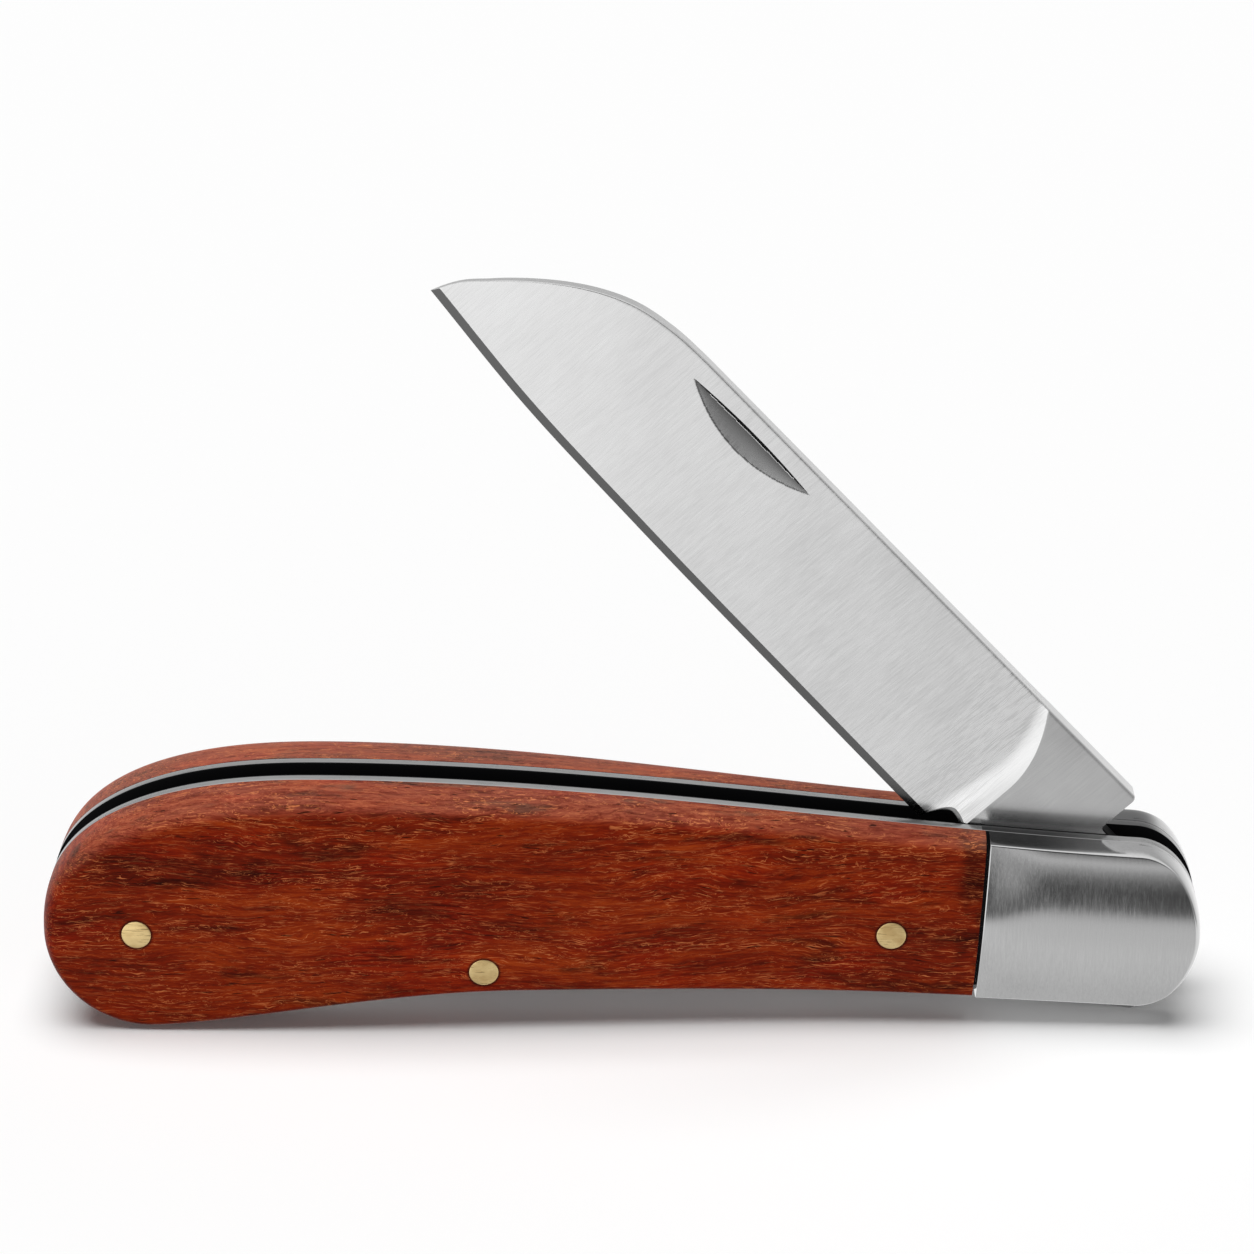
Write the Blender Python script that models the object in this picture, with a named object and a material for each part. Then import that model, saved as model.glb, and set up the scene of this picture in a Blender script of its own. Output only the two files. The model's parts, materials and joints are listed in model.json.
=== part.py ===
"""Folding pruning knife, half open and standing on its back.

Frame: metres, X along the handle towards the bolsters, Y through the handle from front to rear, Z up.
The origin is on the floor under the middle of the handle. The blade is modelled in its own frame:
its tip lies towards local -X, its spine towards local +Z, and its origin is on the pivot's axis.
"""
import math

import bmesh
import bpy
import numpy as np
from mathutils import Vector

MM = 0.001

# Handle outline, seen from the front
HANDLE_LENGTH = 113.1 * MM
CREST_HEIGHT = 24.7 * MM
CREST_SETBACK = 27.55 * MM
BUTT_NOSE_HEIGHT = 9.9 * MM
SOLE_SETBACK = 10.25 * MM
ARCH_HEIGHT = 3.9 * MM
ARCH_SETBACK = 46.55 * MM
BOLSTER_LENGTH = 21.45 * MM
BOLSTER_TOP = 18.75 * MM
BOLSTER_SOLE = 2.3 * MM
BOLSTER_NOSE = 6.2 * MM
BOLSTER_NOSE_HEIGHT = 9.8 * MM
TOP_END_SLOPE = -0.06
SOLE_END_SLOPE = -0.0556
BUTT_TOP_POWER = 2.4
BUTT_SOLE_POWER = 1.9
NOSE_TOP_POWER = 2.1
NOSE_SOLE_POWER = 1.75
ARCH_RISE_POWER = 0.8

# Layers through the handle, from the middle outwards
BLADE_THICKNESS = 2.5 * MM
BLADE_PLAY = 0.1 * MM
LINER_THICKNESS = 1.2 * MM
SEAT_GAP = 0.05 * MM
JOINT_GAP = 0.35 * MM
SWELL_THICKNESS = 6.1 * MM
BOLSTER_THICKNESS = 3.9 * MM
BUTT_THINNING = 0.3 * MM
SWELL_SETBACK = 24.55 * MM
TAPER_LENGTH = 60.0 * MM
BUTT_SHOULDER = 2.2 * MM
JOINT_SHOULDER = 1.4 * MM
BOLSTER_SHOULDER = 0.3 * MM
FACE_CROWN = 0.6 * MM
BOLSTER_CROWN = 1.0 * MM
SHOULDER_POWER = 3.0
SHOULDER_SPREAD = 0.37
SHOULDER_CROWDING = 2.2

# Pins
BRASS_PIN_RADIUS = 1.5 * MM
PIVOT_PIN_RADIUS = 1.5 * MM
RIVET_RADIUS = 0.8 * MM
BORE_CLEARANCE = 0.05 * MM
BUTT_PIN_SETBACK = 9.55 * MM
BUTT_PIN_HEIGHT = 10.7 * MM
CENTRE_PIN_SETBACK = 43.25 * MM
CENTRE_PIN_HEIGHT = 6.6 * MM
SCALE_PIN_INSET = 8.75 * MM
SCALE_PIN_HEIGHT = 10.3 * MM
PIN_SKIN = 0.4 * MM
RIVET_DEPTH = 2.0 * MM
RIVET_INSET = 4.2 * MM
RIVET_EDGE = 3.6 * MM

# Pivot and the blade's stops, as angles above the handle's -X direction
PIVOT_SETBACK = 10.05 * MM
PIVOT_HEIGHT = 12.3 * MM
REST_ANGLE = math.radians(46.45)
CLOSED_ANGLE = math.radians(7.5)

# Blade outline
BLADE_REACH = 88.75 * MM
SPINE_HEIGHT = 9.85 * MM
SPINE_SHOULDER = 5.15 * MM
TANG_RADIUS = 5.3 * MM
TANG_CORNER = 0.7 * MM
TANG_FILLET = 0.4 * MM
SPINE_CORNER = 0.4 * MM
HEEL_REACH = 17.75 * MM
HEEL_DEPTH = 7.2 * MM
CHOIL_SETBACK = 1.75 * MM
CHOIL_RISE = 2.85 * MM
CHOIL_EASE = 0.85
KICK_SETBACK = 2.6 * MM
KICK_WIDTH = 0.8 * MM
TIP_DEPTH = 4.35 * MM
TIP_SWEEP = 22.75 * MM
SWEEP_CROWDING = 1.4

# Blade grind
SPINE_THICKNESS = 2.3 * MM
TIP_SPINE_THICKNESS = 1.9 * MM
BEVEL_THICKNESS = 0.5 * MM
EDGE_THICKNESS = 0.06 * MM
BEVEL_WIDTH = 0.7 * MM
PLUNGE_SETBACK = 3.35 * MM
PLUNGE_SWEEP = 3.7 * MM
PLUNGE_WHEEL = 8.0 * MM

# Nail nick
NICK_START = 50.4 * MM
NICK_LENGTH = 15.4 * MM
NICK_WIDTH = 2.75 * MM
NICK_DROP = 2.0 * MM
NICK_DEPTH = 0.75 * MM
NICK_ROLL = 0.15 * MM

# Back spring
SPRING_PLAY = 0.05 * MM
SPRING_END_SETBACK = 5.45 * MM
SPRING_WAIST = 3.2 * MM
SPRING_LOBE = 1.35 * MM
BUTT_LOBE_RUN = 12.0 * MM
CENTRE_LOBE_FLAT = 1.2 * MM
CENTRE_LOBE_RUN = 5.8 * MM
SPRING_RELIEF = 2.6 * MM
SPRING_TIP_CORNER = 0.8 * MM
CONTACT_GAP = 0.04 * MM
BEND_POWER = 2.5

# Mesh fineness
STATIONS = 64
FINE_STATIONS = 400
SHOULDER_ROWS = 8
BORE_FACETS = 32
PIVOT_FACETS = 48
ARC_STEPS = 5
EDGE_STEPS = 18
SPRING_STEPS = 36
GRIND_ROWS = 9
GRIND_COLUMNS = 14
CUTTER_OVERRUN = 0.12
CUTTER_MARGIN = 1.0 * MM

# Values worked out from the sizes above
BUTT_X = -HANDLE_LENGTH / 2
NOSE_X = HANDLE_LENGTH / 2
CREST_X = BUTT_X + CREST_SETBACK
SOLE_X = BUTT_X + SOLE_SETBACK
ARCH_X = BUTT_X + ARCH_SETBACK
BOLSTER_NOSE_X = NOSE_X - BOLSTER_NOSE
LINER_INNER = BLADE_THICKNESS / 2 + BLADE_PLAY
LINER_OUTER = LINER_INNER + LINER_THICKNESS
SIDE_INNER = LINER_OUTER + SEAT_GAP
SCALE_SHOULDERS = (BUTT_SHOULDER, JOINT_SHOULDER)
BOLSTER_SHOULDERS = (BOLSTER_SHOULDER, BOLSTER_SHOULDER)
PIVOT = Vector((NOSE_X - PIVOT_SETBACK, 0.0, PIVOT_HEIGHT))
BUTT_PIN = (BUTT_X + BUTT_PIN_SETBACK, BUTT_PIN_HEIGHT)
CENTRE_PIN = (BUTT_X + CENTRE_PIN_SETBACK, CENTRE_PIN_HEIGHT)
SCALE_PIN = (NOSE_X - BOLSTER_LENGTH - SCALE_PIN_INSET, SCALE_PIN_HEIGHT)
SPRING_END_X = NOSE_X - SPRING_END_SETBACK
CHOIL_REACH = HEEL_REACH - CHOIL_SETBACK
KICK_REACH = CHOIL_REACH - KICK_SETBACK
PLUNGE_REACH = HEEL_REACH - PLUNGE_SETBACK
BLADE_DEPTH = SPINE_HEIGHT + HEEL_DEPTH
LOBE_RADIUS = BRASS_PIN_RADIUS + BORE_CLEARANCE + SPRING_LOBE


def clear_scene():
    """Remove whatever objects the open file holds."""
    for obj in list(bpy.data.objects):
        bpy.data.objects.remove(obj, do_unlink=True)


def make_material(name, colour, roughness, metallic):
    """Return a plain Principled material."""
    material = bpy.data.materials.new(name)
    material.use_nodes = True
    shader = material.node_tree.nodes["Principled BSDF"]
    shader.inputs["Base Color"].default_value = (*colour, 1.0)
    shader.inputs["Roughness"].default_value = roughness
    shader.inputs["Metallic"].default_value = metallic
    material.diffuse_color = (*colour, 1.0)
    return material


def add_object(name, bm, material=None):
    """Turn a bmesh into a named object with outward normals and smooth round faces."""
    bmesh.ops.recalc_face_normals(bm, faces=bm.faces)
    mesh = bpy.data.meshes.new(name)
    bm.to_mesh(mesh)
    bm.free()
    mesh.shade_smooth()
    mesh.set_sharp_from_angle(angle=math.radians(30))
    obj = bpy.data.objects.new(name, mesh)
    bpy.context.scene.collection.objects.link(obj)
    if material is not None:
        mesh.materials.append(material)
    return obj


def cut(obj, cutter, operation="DIFFERENCE"):
    """Cut an object with a hidden cutter that moves with it."""
    cutter.hide_render = True
    cutter.display_type = "WIRE"
    modifier = obj.modifiers.new(cutter.name, "BOOLEAN")
    modifier.operation = operation
    modifier.solver = "EXACT"
    modifier.object = cutter


def extrude_outline(points, y_low, y_high):
    """Return a plate: a closed outline of (x, z) points extruded along Y."""
    bm = bmesh.new()
    verts = [bm.verts.new((x, y_low, z)) for x, z in points]
    face = bm.faces.new(verts)
    result = bmesh.ops.extrude_face_region(bm, geom=[face])
    moved = [item for item in result["geom"] if isinstance(item, bmesh.types.BMVert)]
    bmesh.ops.translate(bm, verts=moved, vec=(0.0, y_high - y_low, 0.0))
    return bm


def cylinder(x, z, radius, y_low, y_high, facets):
    """Return a cylinder along Y."""
    angles = np.linspace(0.0, 2 * math.pi, facets, endpoint=False)
    points = [(x + radius * math.cos(a), z + radius * math.sin(a)) for a in angles]
    return extrude_outline(points, y_low, y_high)


def bore(obj, x, z, radius, y_low, y_high, facets=BORE_FACETS):
    """Cut a round hole along Y."""
    name = f"{obj.name}_bore_{len(obj.modifiers)}"
    cut(obj, add_object(name, cylinder(x, z, radius, y_low, y_high, facets)))


def smooth_step(u):
    """Return the cubic that rises from 0 to 1 and is level at both ends."""
    u = np.clip(u, 0.0, 1.0)
    return u * u * (3.0 - 2.0 * u)


def level_to_slope(x, x0, z0, x1, z1, end_slope):
    """Return the cubic that leaves (x0, z0) level and reaches (x1, z1) at a slope, then runs straight on."""
    span = x1 - x0
    u = np.clip((x - x0) / span, 0.0, 1.0)
    curve = z0 + (z1 - z0) * smooth_step(u) + end_slope * span * (u ** 3 - u ** 2)
    return curve + end_slope * np.maximum(x - x1, 0.0)


def end_cap(u, power):
    """Return a superellipse quarter: 1 where u is 0, falling to 0 where u is 1."""
    u = np.clip(u, 0.0, 1.0)
    return (1.0 - u ** power) ** (1.0 / power)


def curve_through(x, knots):
    """Return a smooth curve through (x, z) knots, with slopes from each knot's neighbours."""
    xs, zs = np.array(knots, dtype=float).T
    slopes = np.gradient(zs, xs)
    i = np.clip(np.searchsorted(xs, x, side="right") - 1, 0, len(xs) - 2)
    span = xs[i + 1] - xs[i]
    u = np.clip((x - xs[i]) / span, 0.0, 1.0)
    rise = smooth_step(u)
    leave = u * (1.0 - u) ** 2
    arrive = u * u * (u - 1.0)
    return zs[i] * (1.0 - rise) + zs[i + 1] * rise + span * (leave * slopes[i] + arrive * slopes[i + 1])


def arc(centre, radius, start, end, steps=ARC_STEPS):
    """Return points on a circle's arc, angles in degrees."""
    angles = np.radians(np.linspace(start, end, steps + 1))
    return [(centre[0] + radius * math.cos(a), centre[1] + radius * math.sin(a)) for a in angles]


def top_line(x):
    """Return the height of the handle's top edge without its round ends: level swell and long fall."""
    return level_to_slope(x, CREST_X, CREST_HEIGHT, BOLSTER_NOSE_X, BOLSTER_TOP, TOP_END_SLOPE)


def sole_line(x):
    """Return the height of the handle's lower edge without its round ends: an arch with a steep start."""
    rise = np.clip((x - SOLE_X) / (ARCH_X - SOLE_X), 0.0, 1.0) ** ARCH_RISE_POWER
    fall = level_to_slope(x, ARCH_X, ARCH_HEIGHT, BOLSTER_NOSE_X, BOLSTER_SOLE, SOLE_END_SLOPE)
    return np.where(x < ARCH_X, ARCH_HEIGHT * smooth_step(rise), fall)


def handle_top(x):
    """Return the height of the handle's top edge with its round ends."""
    x = np.asarray(x, dtype=float)
    line = top_line(x)
    butt_cap = end_cap((CREST_X - x) / CREST_SETBACK, BUTT_TOP_POWER)
    butt = BUTT_NOSE_HEIGHT + (line - BUTT_NOSE_HEIGHT) * butt_cap
    nose_cap = end_cap((x - BOLSTER_NOSE_X) / BOLSTER_NOSE, NOSE_TOP_POWER)
    nose = BOLSTER_NOSE_HEIGHT + (line - BOLSTER_NOSE_HEIGHT) * nose_cap
    return np.where(x < 0.0, butt, nose)


def handle_sole(x):
    """Return the height of the handle's lower edge with its round ends."""
    x = np.asarray(x, dtype=float)
    line = sole_line(x)
    butt_cap = end_cap((SOLE_X - x) / SOLE_SETBACK, BUTT_SOLE_POWER)
    butt = BUTT_NOSE_HEIGHT + (line - BUTT_NOSE_HEIGHT) * butt_cap
    nose_cap = end_cap((x - BOLSTER_NOSE_X) / BOLSTER_NOSE, NOSE_SOLE_POWER)
    nose = BOLSTER_NOSE_HEIGHT + (line - BOLSTER_NOSE_HEIGHT) * nose_cap
    return np.where(x < 0.0, butt, nose)


def handle_stations(count):
    """Return X stations that crowd towards both round ends, one of them where the butt rests."""
    turn = np.linspace(0.0, math.pi, count + 1)
    x = BUTT_X + HANDLE_LENGTH * (0.5 - 0.5 * np.cos(turn))
    x[np.argmin(np.abs(x - SOLE_X))] = SOLE_X
    return x


def handle_outline(count):
    """Return the closed outline of liners and slabs as (x, z) points, anticlockwise from the butt's end."""
    x = handle_stations(count)
    sole = list(zip(x, handle_sole(x)))
    top = list(zip(x, handle_top(x)))
    return sole + top[-2:0:-1]


def edge_distance(x, z, outline):
    """Return the distance from each point to the nearest side of a closed outline."""
    start = np.array(outline)
    side = np.roll(start, -1, axis=0) - start
    points = np.stack([x, z], axis=-1)[..., None, :]
    along = np.sum((points - start) * side, axis=-1) / np.sum(side * side, axis=-1)
    nearest = start + side * np.clip(along, 0.0, 1.0)[..., None]
    return np.min(np.linalg.norm(points - nearest, axis=-1), axis=-1)


def slab_height(x, z, outline, shoulders):
    """Return how far a slab stands out from its flat back, with the shoulders at the scale's two ends."""
    taper = smooth_step((x - BUTT_X - SWELL_SETBACK) / TAPER_LENGTH)
    behind = np.clip((BUTT_X + SWELL_SETBACK - x) / SWELL_SETBACK, 0.0, 1.0)
    thickness = SWELL_THICKNESS + (BOLSTER_THICKNESS - SWELL_THICKNESS) * taper - BUTT_THINNING * behind ** 2
    across = (2.0 * z - top_line(x) - sole_line(x)) / (top_line(x) - sole_line(x))
    crown = (FACE_CROWN + (BOLSTER_CROWN - FACE_CROWN) * taper) * across ** 2
    share = np.clip((x - BUTT_X) / (HANDLE_LENGTH - BOLSTER_LENGTH), 0.0, 1.0)
    shoulder = shoulders[0] + (shoulders[1] - shoulders[0]) * share
    inward = np.clip(edge_distance(x, z, outline) / shoulder, 0.0, 1.0)
    round_over = (1.0 - (1.0 - inward) ** SHOULDER_POWER) ** (1.0 / SHOULDER_POWER)
    return (thickness - crown) * round_over


def slab_rows():
    """Return the rows across a slab as shares of its height, close together at both shoulders."""
    shoulder = SHOULDER_SPREAD * np.linspace(0.0, 1.0, SHOULDER_ROWS + 1) ** SHOULDER_CROWDING
    return np.concatenate([shoulder, [0.5], 1.0 - shoulder[::-1]])


def slab_blank(side, outline, shoulders):
    """Return one whole side slab, as long as the handle, with side -1 at the front and 1 at the rear."""
    rows = slab_rows()
    stations = handle_stations(STATIONS)
    bm = bmesh.new()
    grid = bmesh.ops.create_grid(bm, x_segments=STATIONS, y_segments=len(rows) - 1, size=1.0)["verts"]
    place = np.array([vert.co[:2] for vert in grid])
    column = np.rint((place[:, 0] + 1.0) / 2.0 * STATIONS).astype(int)
    row = np.rint((place[:, 1] + 1.0) / 2.0 * (len(rows) - 1)).astype(int)
    x = stations[column]
    sole = handle_sole(x)
    z = sole + (handle_top(x) - sole) * rows[row]
    y = SIDE_INNER + slab_height(x, z, outline, shoulders)
    rim = (column == 0) | (column == STATIONS) | (row == 0) | (row == len(rows) - 1)
    y[rim] = SIDE_INNER
    for vert, point in zip(grid, np.stack([x, side * y, z], axis=1)):
        vert.co = point
    bmesh.ops.remove_doubles(bm, verts=bm.verts, dist=0.001 * MM)
    bmesh.ops.holes_fill(bm, edges=[edge for edge in bm.edges if edge.is_boundary])
    return bm


def joint_line():
    """Return a point on the joint between scale and bolster and the bolster's direction along the handle."""
    x = NOSE_X - BOLSTER_LENGTH
    lean = (TOP_END_SLOPE + SOLE_END_SLOPE) / 2
    middle = (float(handle_top(x)) + float(handle_sole(x))) / 2
    return Vector((x, 0.0, middle)), Vector((1.0, 0.0, lean)).normalized()


def trim(bm, point, normal):
    """Cut away what lies beyond a plane and close the cut."""
    geometry = bm.verts[:] + bm.edges[:] + bm.faces[:]
    bmesh.ops.bisect_plane(bm, geom=geometry, plane_co=point, plane_no=normal, clear_outer=True, dist=1e-7)
    bmesh.ops.holes_fill(bm, edges=[edge for edge in bm.edges if edge.is_boundary])


def through(side, y_low, y_high):
    """Return a Y range mirrored to one side, lowest first."""
    return tuple(sorted((side * y_low, side * y_high)))


def rivet_places():
    """Return the (x, z) places of one bolster's two rivets."""
    x = NOSE_X - BOLSTER_LENGTH + RIVET_INSET
    return [(x, float(handle_sole(x)) + RIVET_EDGE), (x, float(handle_top(x)) - RIVET_EDGE)]


def make_slabs(materials, outline):
    """Make both scales and both bolsters."""
    point, along = joint_line()
    far = SWELL_THICKNESS + CUTTER_MARGIN
    for side, word in ((-1, "front"), (1, "rear")):
        bm = slab_blank(side, outline, SCALE_SHOULDERS)
        trim(bm, point - along * JOINT_GAP / 2, along)
        scale = add_object(f"{word}_scale", bm, materials["wood"])
        for x, z in (BUTT_PIN, CENTRE_PIN, SCALE_PIN):
            y_range = through(side, LINER_OUTER - SEAT_GAP, SIDE_INNER + far)
            bore(scale, x, z, BRASS_PIN_RADIUS + BORE_CLEARANCE, *y_range)
        bm = slab_blank(side, outline, BOLSTER_SHOULDERS)
        trim(bm, point + along * JOINT_GAP / 2, -along)
        bolster = add_object(f"{word}_bolster", bm, materials["bolster"])
        depth = SIDE_INNER + BOLSTER_THICKNESS - PIN_SKIN
        y_range = through(side, LINER_OUTER - SEAT_GAP, depth)
        bore(bolster, PIVOT.x, PIVOT.z, PIVOT_PIN_RADIUS + BORE_CLEARANCE, *y_range, PIVOT_FACETS)
        for x, z in rivet_places():
            y_range = through(side, LINER_OUTER - SEAT_GAP, SIDE_INNER + RIVET_DEPTH + SEAT_GAP)
            bore(bolster, x, z, RIVET_RADIUS + BORE_CLEARANCE, *y_range)


def make_liners(materials):
    """Make the two steel liners, with every pin's hole."""
    outline = handle_outline(STATIONS)
    for side, word in ((-1, "front"), (1, "rear")):
        y_range = through(side, LINER_INNER, LINER_OUTER)
        liner = add_object(f"{word}_liner", extrude_outline(outline, *y_range), materials["liner"])
        y_range = through(side, LINER_INNER - CUTTER_MARGIN, LINER_OUTER + CUTTER_MARGIN)
        for x, z in (BUTT_PIN, CENTRE_PIN, SCALE_PIN):
            bore(liner, x, z, BRASS_PIN_RADIUS + BORE_CLEARANCE, *y_range)
        bore(liner, PIVOT.x, PIVOT.z, PIVOT_PIN_RADIUS + BORE_CLEARANCE, *y_range, PIVOT_FACETS)
        for x, z in rivet_places():
            bore(liner, x, z, RIVET_RADIUS + BORE_CLEARANCE, *y_range)


def dressed_pin(x, z, y_low, y_high, outline):
    """Return a brass pin whose outer ends follow the slab's face, as if filed flush with it."""
    bm = cylinder(x, z, BRASS_PIN_RADIUS, y_low, y_high, BORE_FACETS)
    for vert in bm.verts:
        if abs(vert.co.y) > LINER_OUTER:
            place = (np.array(vert.co.x), np.array(vert.co.z))
            height = float(slab_height(*place, outline, SCALE_SHOULDERS))
            vert.co.y = math.copysign(SIDE_INNER + height, vert.co.y)
    ends = [face for face in bm.faces if len(face.verts) == BORE_FACETS]
    bmesh.ops.poke(bm, faces=[face for face in ends if abs(face.calc_center_median().y) > LINER_OUTER])
    return bm


def make_pins(materials, outline):
    """Make the three lines of brass pins, the pivot pin and the bolsters' rivets."""
    outside = SIDE_INNER + SWELL_THICKNESS
    for name, (x, z) in (("butt_pin", BUTT_PIN), ("centre_pin", CENTRE_PIN)):
        add_object(name, dressed_pin(x, z, -outside, outside, outline), materials["brass"])
    for side, word in ((-1, "front"), (1, "rear")):
        y_range = through(side, LINER_INNER + SEAT_GAP, outside)
        add_object(f"{word}_scale_pin", dressed_pin(*SCALE_PIN, *y_range, outline), materials["brass"])
        y_range = through(side, LINER_INNER + SEAT_GAP, SIDE_INNER + RIVET_DEPTH)
        for (x, z), place in zip(rivet_places(), ("lower", "upper")):
            bm = cylinder(x, z, RIVET_RADIUS, *y_range, BORE_FACETS)
            add_object(f"{word}_{place}_bolster_rivet", bm, materials["steel"])
    reach = SIDE_INNER + BOLSTER_THICKNESS - PIN_SKIN - SEAT_GAP
    bm = cylinder(PIVOT.x, PIVOT.z, PIVOT_PIN_RADIUS, -reach, reach, PIVOT_FACETS)
    add_object("pivot_pin", bm, materials["steel"])


def back_drop():
    """Return the distance from the pivot to the handle's back line, square to that line."""
    slope = math.atan(SOLE_END_SLOPE)
    return (PIVOT_HEIGHT - float(handle_sole(PIVOT.x))) * math.cos(slope)


def spring_end_thickness():
    """Return the height of the spring's working end, which the closed and the open tang just touch."""
    return back_drop() - TANG_RADIUS


def tang_corner_low():
    """Return the lowest point of the tang's corner with the blade at rest."""
    reach = TANG_RADIUS - TANG_CORNER
    x = PIVOT.x + reach * (math.cos(REST_ANGLE) - math.sin(REST_ANGLE))
    z = PIVOT.z - reach * (math.cos(REST_ANGLE) + math.sin(REST_ANGLE)) - TANG_CORNER
    return x, z


def spring_bend(x):
    """Return how far the tang's corner pushes the spring down at each place along it."""
    touch_x, touch_z = tang_corner_low()
    seat = float(handle_sole(touch_x)) + spring_end_thickness()
    share = (touch_x - CENTRE_PIN[0]) / (SPRING_END_X - CENTRE_PIN[0])
    tip_travel = (seat + CONTACT_GAP - touch_z) / share ** BEND_POWER
    along = np.clip((np.asarray(x) - CENTRE_PIN[0]) / (SPRING_END_X - CENTRE_PIN[0]), 0.0, None)
    return tip_travel * along ** BEND_POWER


def butt_edge_x(height):
    """Return where the butt's upper round reaches a height above its nose."""
    share = (height - BUTT_NOSE_HEIGHT) / (CREST_HEIGHT - BUTT_NOSE_HEIGHT)
    return CREST_X - CREST_SETBACK * end_cap(share, BUTT_TOP_POWER)


def spring_inner(x):
    """Return the spring's upper edge before it bends: butt lobe, centre lobe, slim arm, thick end."""
    butt_x, butt_z = BUTT_PIN
    centre_x, centre_z = CENTRE_PIN
    waist = handle_sole(x) + SPRING_WAIST
    butt_fall = smooth_step((x - butt_x - LOBE_RADIUS) / BUTT_LOBE_RUN)
    centre_rise = smooth_step(1.0 - (np.abs(x - centre_x) - CENTRE_LOBE_FLAT) / CENTRE_LOBE_RUN)
    line = (butt_z + LOBE_RADIUS) * (1.0 - butt_fall) + waist * butt_fall
    line = line + (centre_z + LOBE_RADIUS - waist) * centre_rise
    kick_x = PIVOT.x - KICK_REACH - KICK_WIDTH
    thick = smooth_step((x - kick_x + SPRING_RELIEF) / SPRING_RELIEF)
    return line + (spring_end_thickness() - SPRING_WAIST) * thick


def make_spring(materials):
    """Make the back spring, bent by the tang's corner as the half open blade bends it."""
    heights = np.linspace(BUTT_PIN_HEIGHT + LOBE_RADIUS, BUTT_NOSE_HEIGHT, ARC_STEPS)
    butt = list(zip(butt_edge_x(heights), heights))
    turn = np.linspace(0.0, math.pi / 2, 2 * ARC_STEPS + 1)[1:]
    x = np.concatenate([SOLE_X - SOLE_SETBACK * np.cos(turn),
                        np.linspace(SOLE_X, SPRING_END_X - SPRING_TIP_CORNER, SPRING_STEPS)[1:]])
    lower = list(zip(x, handle_sole(x)))
    corner = (SPRING_END_X - SPRING_TIP_CORNER, float(handle_sole(SPRING_END_X)) + SPRING_TIP_CORNER)
    tip = arc(corner, SPRING_TIP_CORNER, -90.0, 0.0)[1:]
    relief_x = PIVOT.x - KICK_REACH - KICK_WIDTH - SPRING_RELIEF
    x = np.concatenate([np.linspace(SPRING_END_X, relief_x, SPRING_STEPS // 2),
                        np.linspace(relief_x, BUTT_PIN[0], SPRING_STEPS)[1:]])
    upper = list(zip(x, spring_inner(x)))
    outline = butt + lower + tip + upper
    bent = [(px, pz - float(spring_bend(px))) for px, pz in outline]
    half = LINER_INNER - SPRING_PLAY
    spring = add_object("back_spring", extrude_outline(bent, -half, half), materials["steel"])
    for px, pz in (BUTT_PIN, CENTRE_PIN):
        bore(spring, px, pz, BRASS_PIN_RADIUS + BORE_CLEARANCE, -half - CUTTER_MARGIN, half + CUTTER_MARGIN)
    return spring


def kick_depth():
    """Return the kick's depth, which props the closed blade on the spring at its closed angle."""
    back_angle = -math.atan(SOLE_END_SLOPE)
    prop = CLOSED_ANGLE - back_angle
    return (TANG_RADIUS + KICK_REACH * math.sin(prop)) / math.cos(prop)


def edge_line(reach):
    """Return the depth of the cutting edge under the pivot at each reach along the blade."""
    length = BLADE_REACH - HEEL_REACH
    belly = HEEL_DEPTH - TIP_DEPTH
    knots = [
        (HEEL_REACH - 0.3 * length, HEEL_DEPTH + 0.05 * belly),
        (HEEL_REACH, HEEL_DEPTH),
        (HEEL_REACH + 0.27 * length, HEEL_DEPTH - 0.1 * belly),
        (HEEL_REACH + 0.58 * length, HEEL_DEPTH - 0.26 * belly),
        (HEEL_REACH + 0.81 * length, HEEL_DEPTH - 0.5 * belly),
        (BLADE_REACH, TIP_DEPTH),
    ]
    return -curve_through(reach, knots)


def back_line(setback):
    """Return the height of the blade's back at each setback from the tip, where it sweeps down."""
    drop = SPINE_HEIGHT + TIP_DEPTH
    knots = [
        (0.0, -TIP_DEPTH),
        (0.033 * TIP_SWEEP, 0.12 * drop - TIP_DEPTH),
        (0.138 * TIP_SWEEP, 0.342 * drop - TIP_DEPTH),
        (0.275 * TIP_SWEEP, 0.568 * drop - TIP_DEPTH),
        (0.43 * TIP_SWEEP, 0.765 * drop - TIP_DEPTH),
        (0.61 * TIP_SWEEP, 0.915 * drop - TIP_DEPTH),
        (0.8 * TIP_SWEEP, 0.982 * drop - TIP_DEPTH),
        (TIP_SWEEP, SPINE_HEIGHT),
        (1.3 * TIP_SWEEP, SPINE_HEIGHT),
    ]
    return curve_through(setback, knots)


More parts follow.
